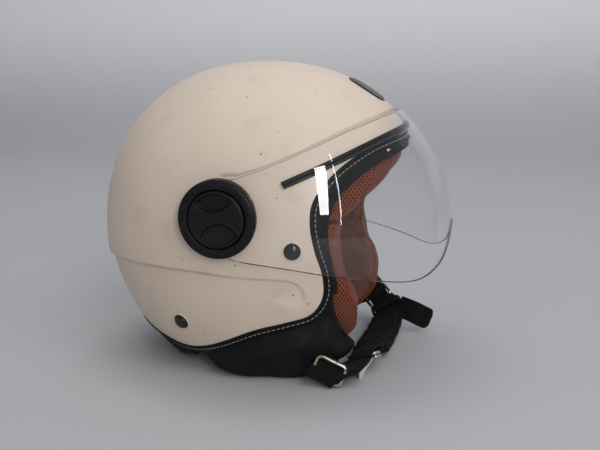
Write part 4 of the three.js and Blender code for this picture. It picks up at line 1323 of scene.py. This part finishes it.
def make_straps():
    for side, word, front_end in ((1, "left", LEG_END_LEFT), (-1, "right", LEG_END_RIGHT)):
        leg = strap(f"strap_leg_front_{word}_web", leg_stations(LEG_FRONT, front_end, side), LEG_WIDTH)
        finish_piece(leg, WEBBING, "helmet", "webbing", f"strap_leg_front_{word}")
        leg = strap(f"strap_leg_rear_{word}_web", leg_stations(LEG_REAR, [], side), LEG_WIDTH)
        finish_piece(leg, WEBBING, "helmet", "webbing", f"strap_leg_rear_{word}")
    for word, ring in (("left", RING_LEFT), ("right", RING_RIGHT)):
        low, high = np.array(ring["near"], float), np.array(ring["far"], float)
        span = np.linalg.norm(high - low)
        flat = rounded_loop(24, span, 3.6)
        loop = wire_loop(f"ring_{word}", flat, (low + high) / 2, ring["bar"], high - low, WIRE_RADIUS)
        finish_piece(loop, CHROME, "helmet", "chrome", f"strap_ring_{word}")
    folds = {
        "fold_leg_left": (RING_LEFT["far"], RING_LEFT["bar"], (8, 6, 3), 20, 13),
        "fold_chin_left": (RING_LEFT["near"], RING_LEFT["bar"], (-3, -3, -1.2), 20, 8),
        "fold_leg_right": (RING_RIGHT["far"], RING_RIGHT["bar"], (9, -1, 1.5), LEG_WIDTH, 9),
    }
    for name, (centre, bar, toward, width, reach) in folds.items():
        gap = 5.2 if name == "fold_leg_left" else WIRE_RADIUS + 0.95
        finish_piece(folded_end(name, centre, bar, toward, width, reach, gap), WEBBING, "helmet", "webbing")
    finish_piece(strap("wrap_chin_right", WRAP_RIGHT, 23.5, 1.8), WEBBING, "helmet", "webbing")
    finish_piece(strap("ring_webbing", RING_FILL, 19.5, 1.5), WEBBING, "helmet", "webbing")
    finish_piece(strap("pad_neck", NECK_ROUTE, 26.4, 5.4, 2.2), PAD_CLOTH, "helmet", "webbing")
    finish_piece(strap("buckle_return", RETURN_ROUTE, 20, 1.6), WEBBING, "helmet", "webbing")
    finish_piece(strap("blank_tag", TAG_ROUTE, 11, 0.7), TAG_CLOTH, "helmet", "webbing")
    chin = strap("chin_strap_web", CHIN_ROUTE, 22)
    finish_piece(chin, WEBBING, "helmet", "webbing", "chin_strap_long")
    short = strap("chin_strap_short_web", SHORT_ROUTE, LEG_WIDTH)
    finish_piece(short, WEBBING, "helmet", "webbing", "chin_strap_short")
    tail = strap("strap_tail_web", TAIL_ROUTE, TAIL_WIDTH, TAIL_THICKNESS)
    round_corners(tail, TAIL_ROUTE, TAIL_WIDTH, TAIL_CORNER)
    finish_piece(tail, WEBBING, "helmet", "webbing", "strap_tail")
    for shift in (-8, 8):
        thread_row(f"chin_thread_{shift}", CHIN_ROUTE[3:10], shift * 1.65, 3.1, thread=PIPING)


def make_d_rings():
    arc = [(12.85 * math.cos(a), 12.85 * math.sin(a)) for a in np.linspace(0, math.pi, 30)]
    left = [(-12.85, -3.0), (-12.3, -4.4), (-11.0, -4.85)]
    flat = np.array([*arc, *left, *[(-x, y) for x, y in reversed(left)], arc[0]])
    flat = spaced(flat, 90)[:-1]
    for name, centre in D_RINGS.items():
        ring = wire_loop(f"{name}_wire", flat, centre, D_BAR, D_REACH, 1.3)
        finish_piece(ring, CHROME, "helmet", "chrome", name)
    bar = np.mean([np.array(c, float) - 4.85 * unit(D_REACH) for c in D_RINGS.values()], axis=0)
    fold = folded_end("fold_buckle", bar, D_BAR, (-8, 2, 0.5), LEG_WIDTH, 8, 3.6)
    finish_piece(fold, WEBBING, "helmet", "webbing")


def make_chin_pad():
    """Padded sleeve of the chin strap, with a sewn border."""
    def edge_line(points):
        middle, normals = strap_frames(CHIN_ROUTE[2:11], 2.0)
        _, _, side = frames_along(middle, normals, False)
        nearest = np.argmin(((points[:, None] - middle[None]) ** 2).sum(2), axis=1)
        off = ((points - middle[nearest]) * side[nearest]).sum(1)
        return near(np.abs(off) - 12.2, 1.5)

    return cushion("chin_pad", "webbing", PAD_CLOTH, edge_line, 1.9, pressure=5.0,
                   cap=1.3, tuck=1.3, shrink=0.3)


def make_keeper():
    """Loop round the twisting strap. Its tilt lies between the strap's tilts at both ends of the
    travel; it still grazes the strap, the neck padding and the ring fold at rest."""
    place = CHIN_ROUTE[1][0]
    along = unit(np.array(CHIN_ROUTE[2][0], float) - np.array(place, float))
    across = unit(KEEPER_ACROSS)
    flat = rounded_loop(*KEEPER_LOOP, corner=6, step=1.4)
    up = np.cross(along, across)
    points = np.array(place, float) + flat[:, :1] * across + flat[:, 1:] * up
    ahead = np.roll(points, -1, axis=0) - np.roll(points, 1, axis=0)
    normals = unit(np.cross(ahead, along))
    profile = rounded_box(KEEPER_LENGTH, KEEPER_THICKNESS, 0.6, 3)
    obj = sweep("keeper_loop", points, normals, profile, True)
    return finish_piece(obj, WEBBING, "keeper", "webbing", "strap_keeper")


# ---- pieces kept from the CAD model --------------------------------------------------------------

def keep_cad_pieces():
    paints = {"eps_liner": FOAM}
    for word in ("left", "right"):
        paints[f"pivot_base_{word}"] = BLACK_PLASTIC
        paints[f"pivot_screw_{word}"] = ZINC
        paints[f"pivot_nut_{word}"] = ZINC
    for node, material in paints.items():
        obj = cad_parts[node]
        obj.data.materials.clear()
        obj.data.materials.append(material)


# ---- floor, light and camera ---------------------------------------------------------------------

def make_floor():
    """A pale floor that curves up into a wall behind the helmet."""
    profile = [(-3000, -0.4), (300, -0.4), (900, -0.4)]
    profile += [(1500 + 600 * math.sin(a), 600 - 600 * math.cos(a) - 0.4) for a in np.linspace(0, math.pi / 2, 12)]
    profile += [(2100, 2600)]
    points = [(x, y, z) for y in (-3200, 3200) for x, z in profile]
    floor = new_object("studio_floor", points, grid_faces(2, len(profile)))
    s = Shader("studio_floor", roughness=0.75)
    height = s.node("SeparateXYZ", {"Vector": s.place()}).outputs["Z"]
    base = s.mix(s.ramp(height, 0.0, 0.5), (0.43, 0.435, 0.45), (0.84, 0.84, 0.855))
    s.color(s.mix(s.math("MULTIPLY", s.noise(3, 2), 0.05), base, (0.9, 0.9, 0.9)))
    floor.data.materials.append(s.material)


def area_light(name, place, target, width, height, power, tint=(1, 1, 1), roll=0.0):
    data = bpy.data.lights.new(name, "AREA")
    data.shape, data.size, data.size_y = "RECTANGLE", width * MM, height * MM
    data.energy, data.color = power, tint
    obj = bpy.data.objects.new(name, data)
    bpy.context.scene.collection.objects.link(obj)
    place, target = Vector(place), Vector(target)
    obj.matrix_world = (Matrix.Translation(place * MM)
                        @ (target - place).to_track_quat("-Z", "Y").to_matrix().to_4x4()
                        @ Matrix.Rotation(roll, 4, "Z"))
    obj.visible_camera = obj.visible_glossy = False


PANEL_STRENGTH = 26  # of the panels that only reflections show


def light_panel(name, corners, strength):
    """A bright quadrilateral that shows only as a reflection."""
    panel = new_object(name, corners, [(0, 1, 2, 3)])
    s = Shader(name)
    s.color((0.0, 0.0, 0.0))
    tint = s.ramp(s.noise(5, 1), 0.3, 0.7)
    s.links.new(s.mix(tint, (0.92, 0.96, 1.0), (1.0, 0.98, 0.95)), s.bsdf.inputs["Emission Color"])
    s.bsdf.inputs["Emission Strength"].default_value = strength
    panel.data.materials.append(s.material)
    panel.visible_camera = panel.visible_diffuse = panel.visible_shadow = False


def make_light():
    world = bpy.data.worlds.new("studio")
    world.use_nodes = True
    world.node_tree.nodes["Background"].inputs["Color"].default_value = (0.95, 0.97, 1.0, 1)
    world.node_tree.nodes["Background"].inputs["Strength"].default_value = 0.36
    bpy.context.scene.world = world
    centre = (0, 0, 120)
    area_light("key", (-900, -1100, 1500), centre, 1100, 1100, 10.6)
    area_light("top", (200, 100, 2000), centre, 1600, 1600, 5)
    area_light("window", (-1225, -610, 610), centre, 300, 640, 5.5)
    area_light("wall_wash", (500, 300, 2400), (2100, 0, 500), 1500, 800, 15)
    light_panel("window_panes",
                [(-1172, -514, 902), (-1062, -644, 955), (-1343, -644, 298), (-1391, -535, 290)], PANEL_STRENGTH)
    light_panel("window_gap",
                [(-932, -730, 1175), (-942, -752, 1175), (-1257, -786, 177), (-1245, -765, 177)], PANEL_STRENGTH)
    light_panel("lamp",
                [(130, -1160, 1040), (190, -1195, 1030), (190, -1205, 1005), (130, -1170, 1012)], PANEL_STRENGTH)


def make_camera():
    data = bpy.data.cameras.new("camera")
    data.lens, data.sensor_width = 49.74, 36
    data.clip_start, data.clip_end = 0.05, 30
    camera = bpy.data.objects.new("camera", data)
    bpy.context.scene.collection.objects.link(camera)
    forward = Vector((0.95890, 0.20597, -0.19514)).normalized()
    up = Vector((0.19349, 0.02832, 0.98069))
    right = forward.cross(up).normalized()
    up = right.cross(forward)
    turn = Matrix((right, up, -forward)).transposed().to_4x4()
    camera.matrix_world = Matrix.Translation(Vector((-695.83, -167.25, 249.26)) * MM) @ turn
    bpy.context.scene.camera = camera
    bpy.context.scene.view_settings.view_transform = "Standard"


make_shell()
make_rivets()
make_badge()
make_visor()
for hub_side, hub_word in ((1, "left"), (-1, "right")):
    make_pivot_cover(hub_side, hub_word)
    make_knob(hub_side, hub_word)
    make_skirt(hub_side, hub_word)
make_seal()
make_trim()
make_facing()
make_padding()
make_straps()
make_d_rings()
make_chin_pad()
make_keeper()
keep_cad_pieces()
make_floor()
make_light()
make_camera()
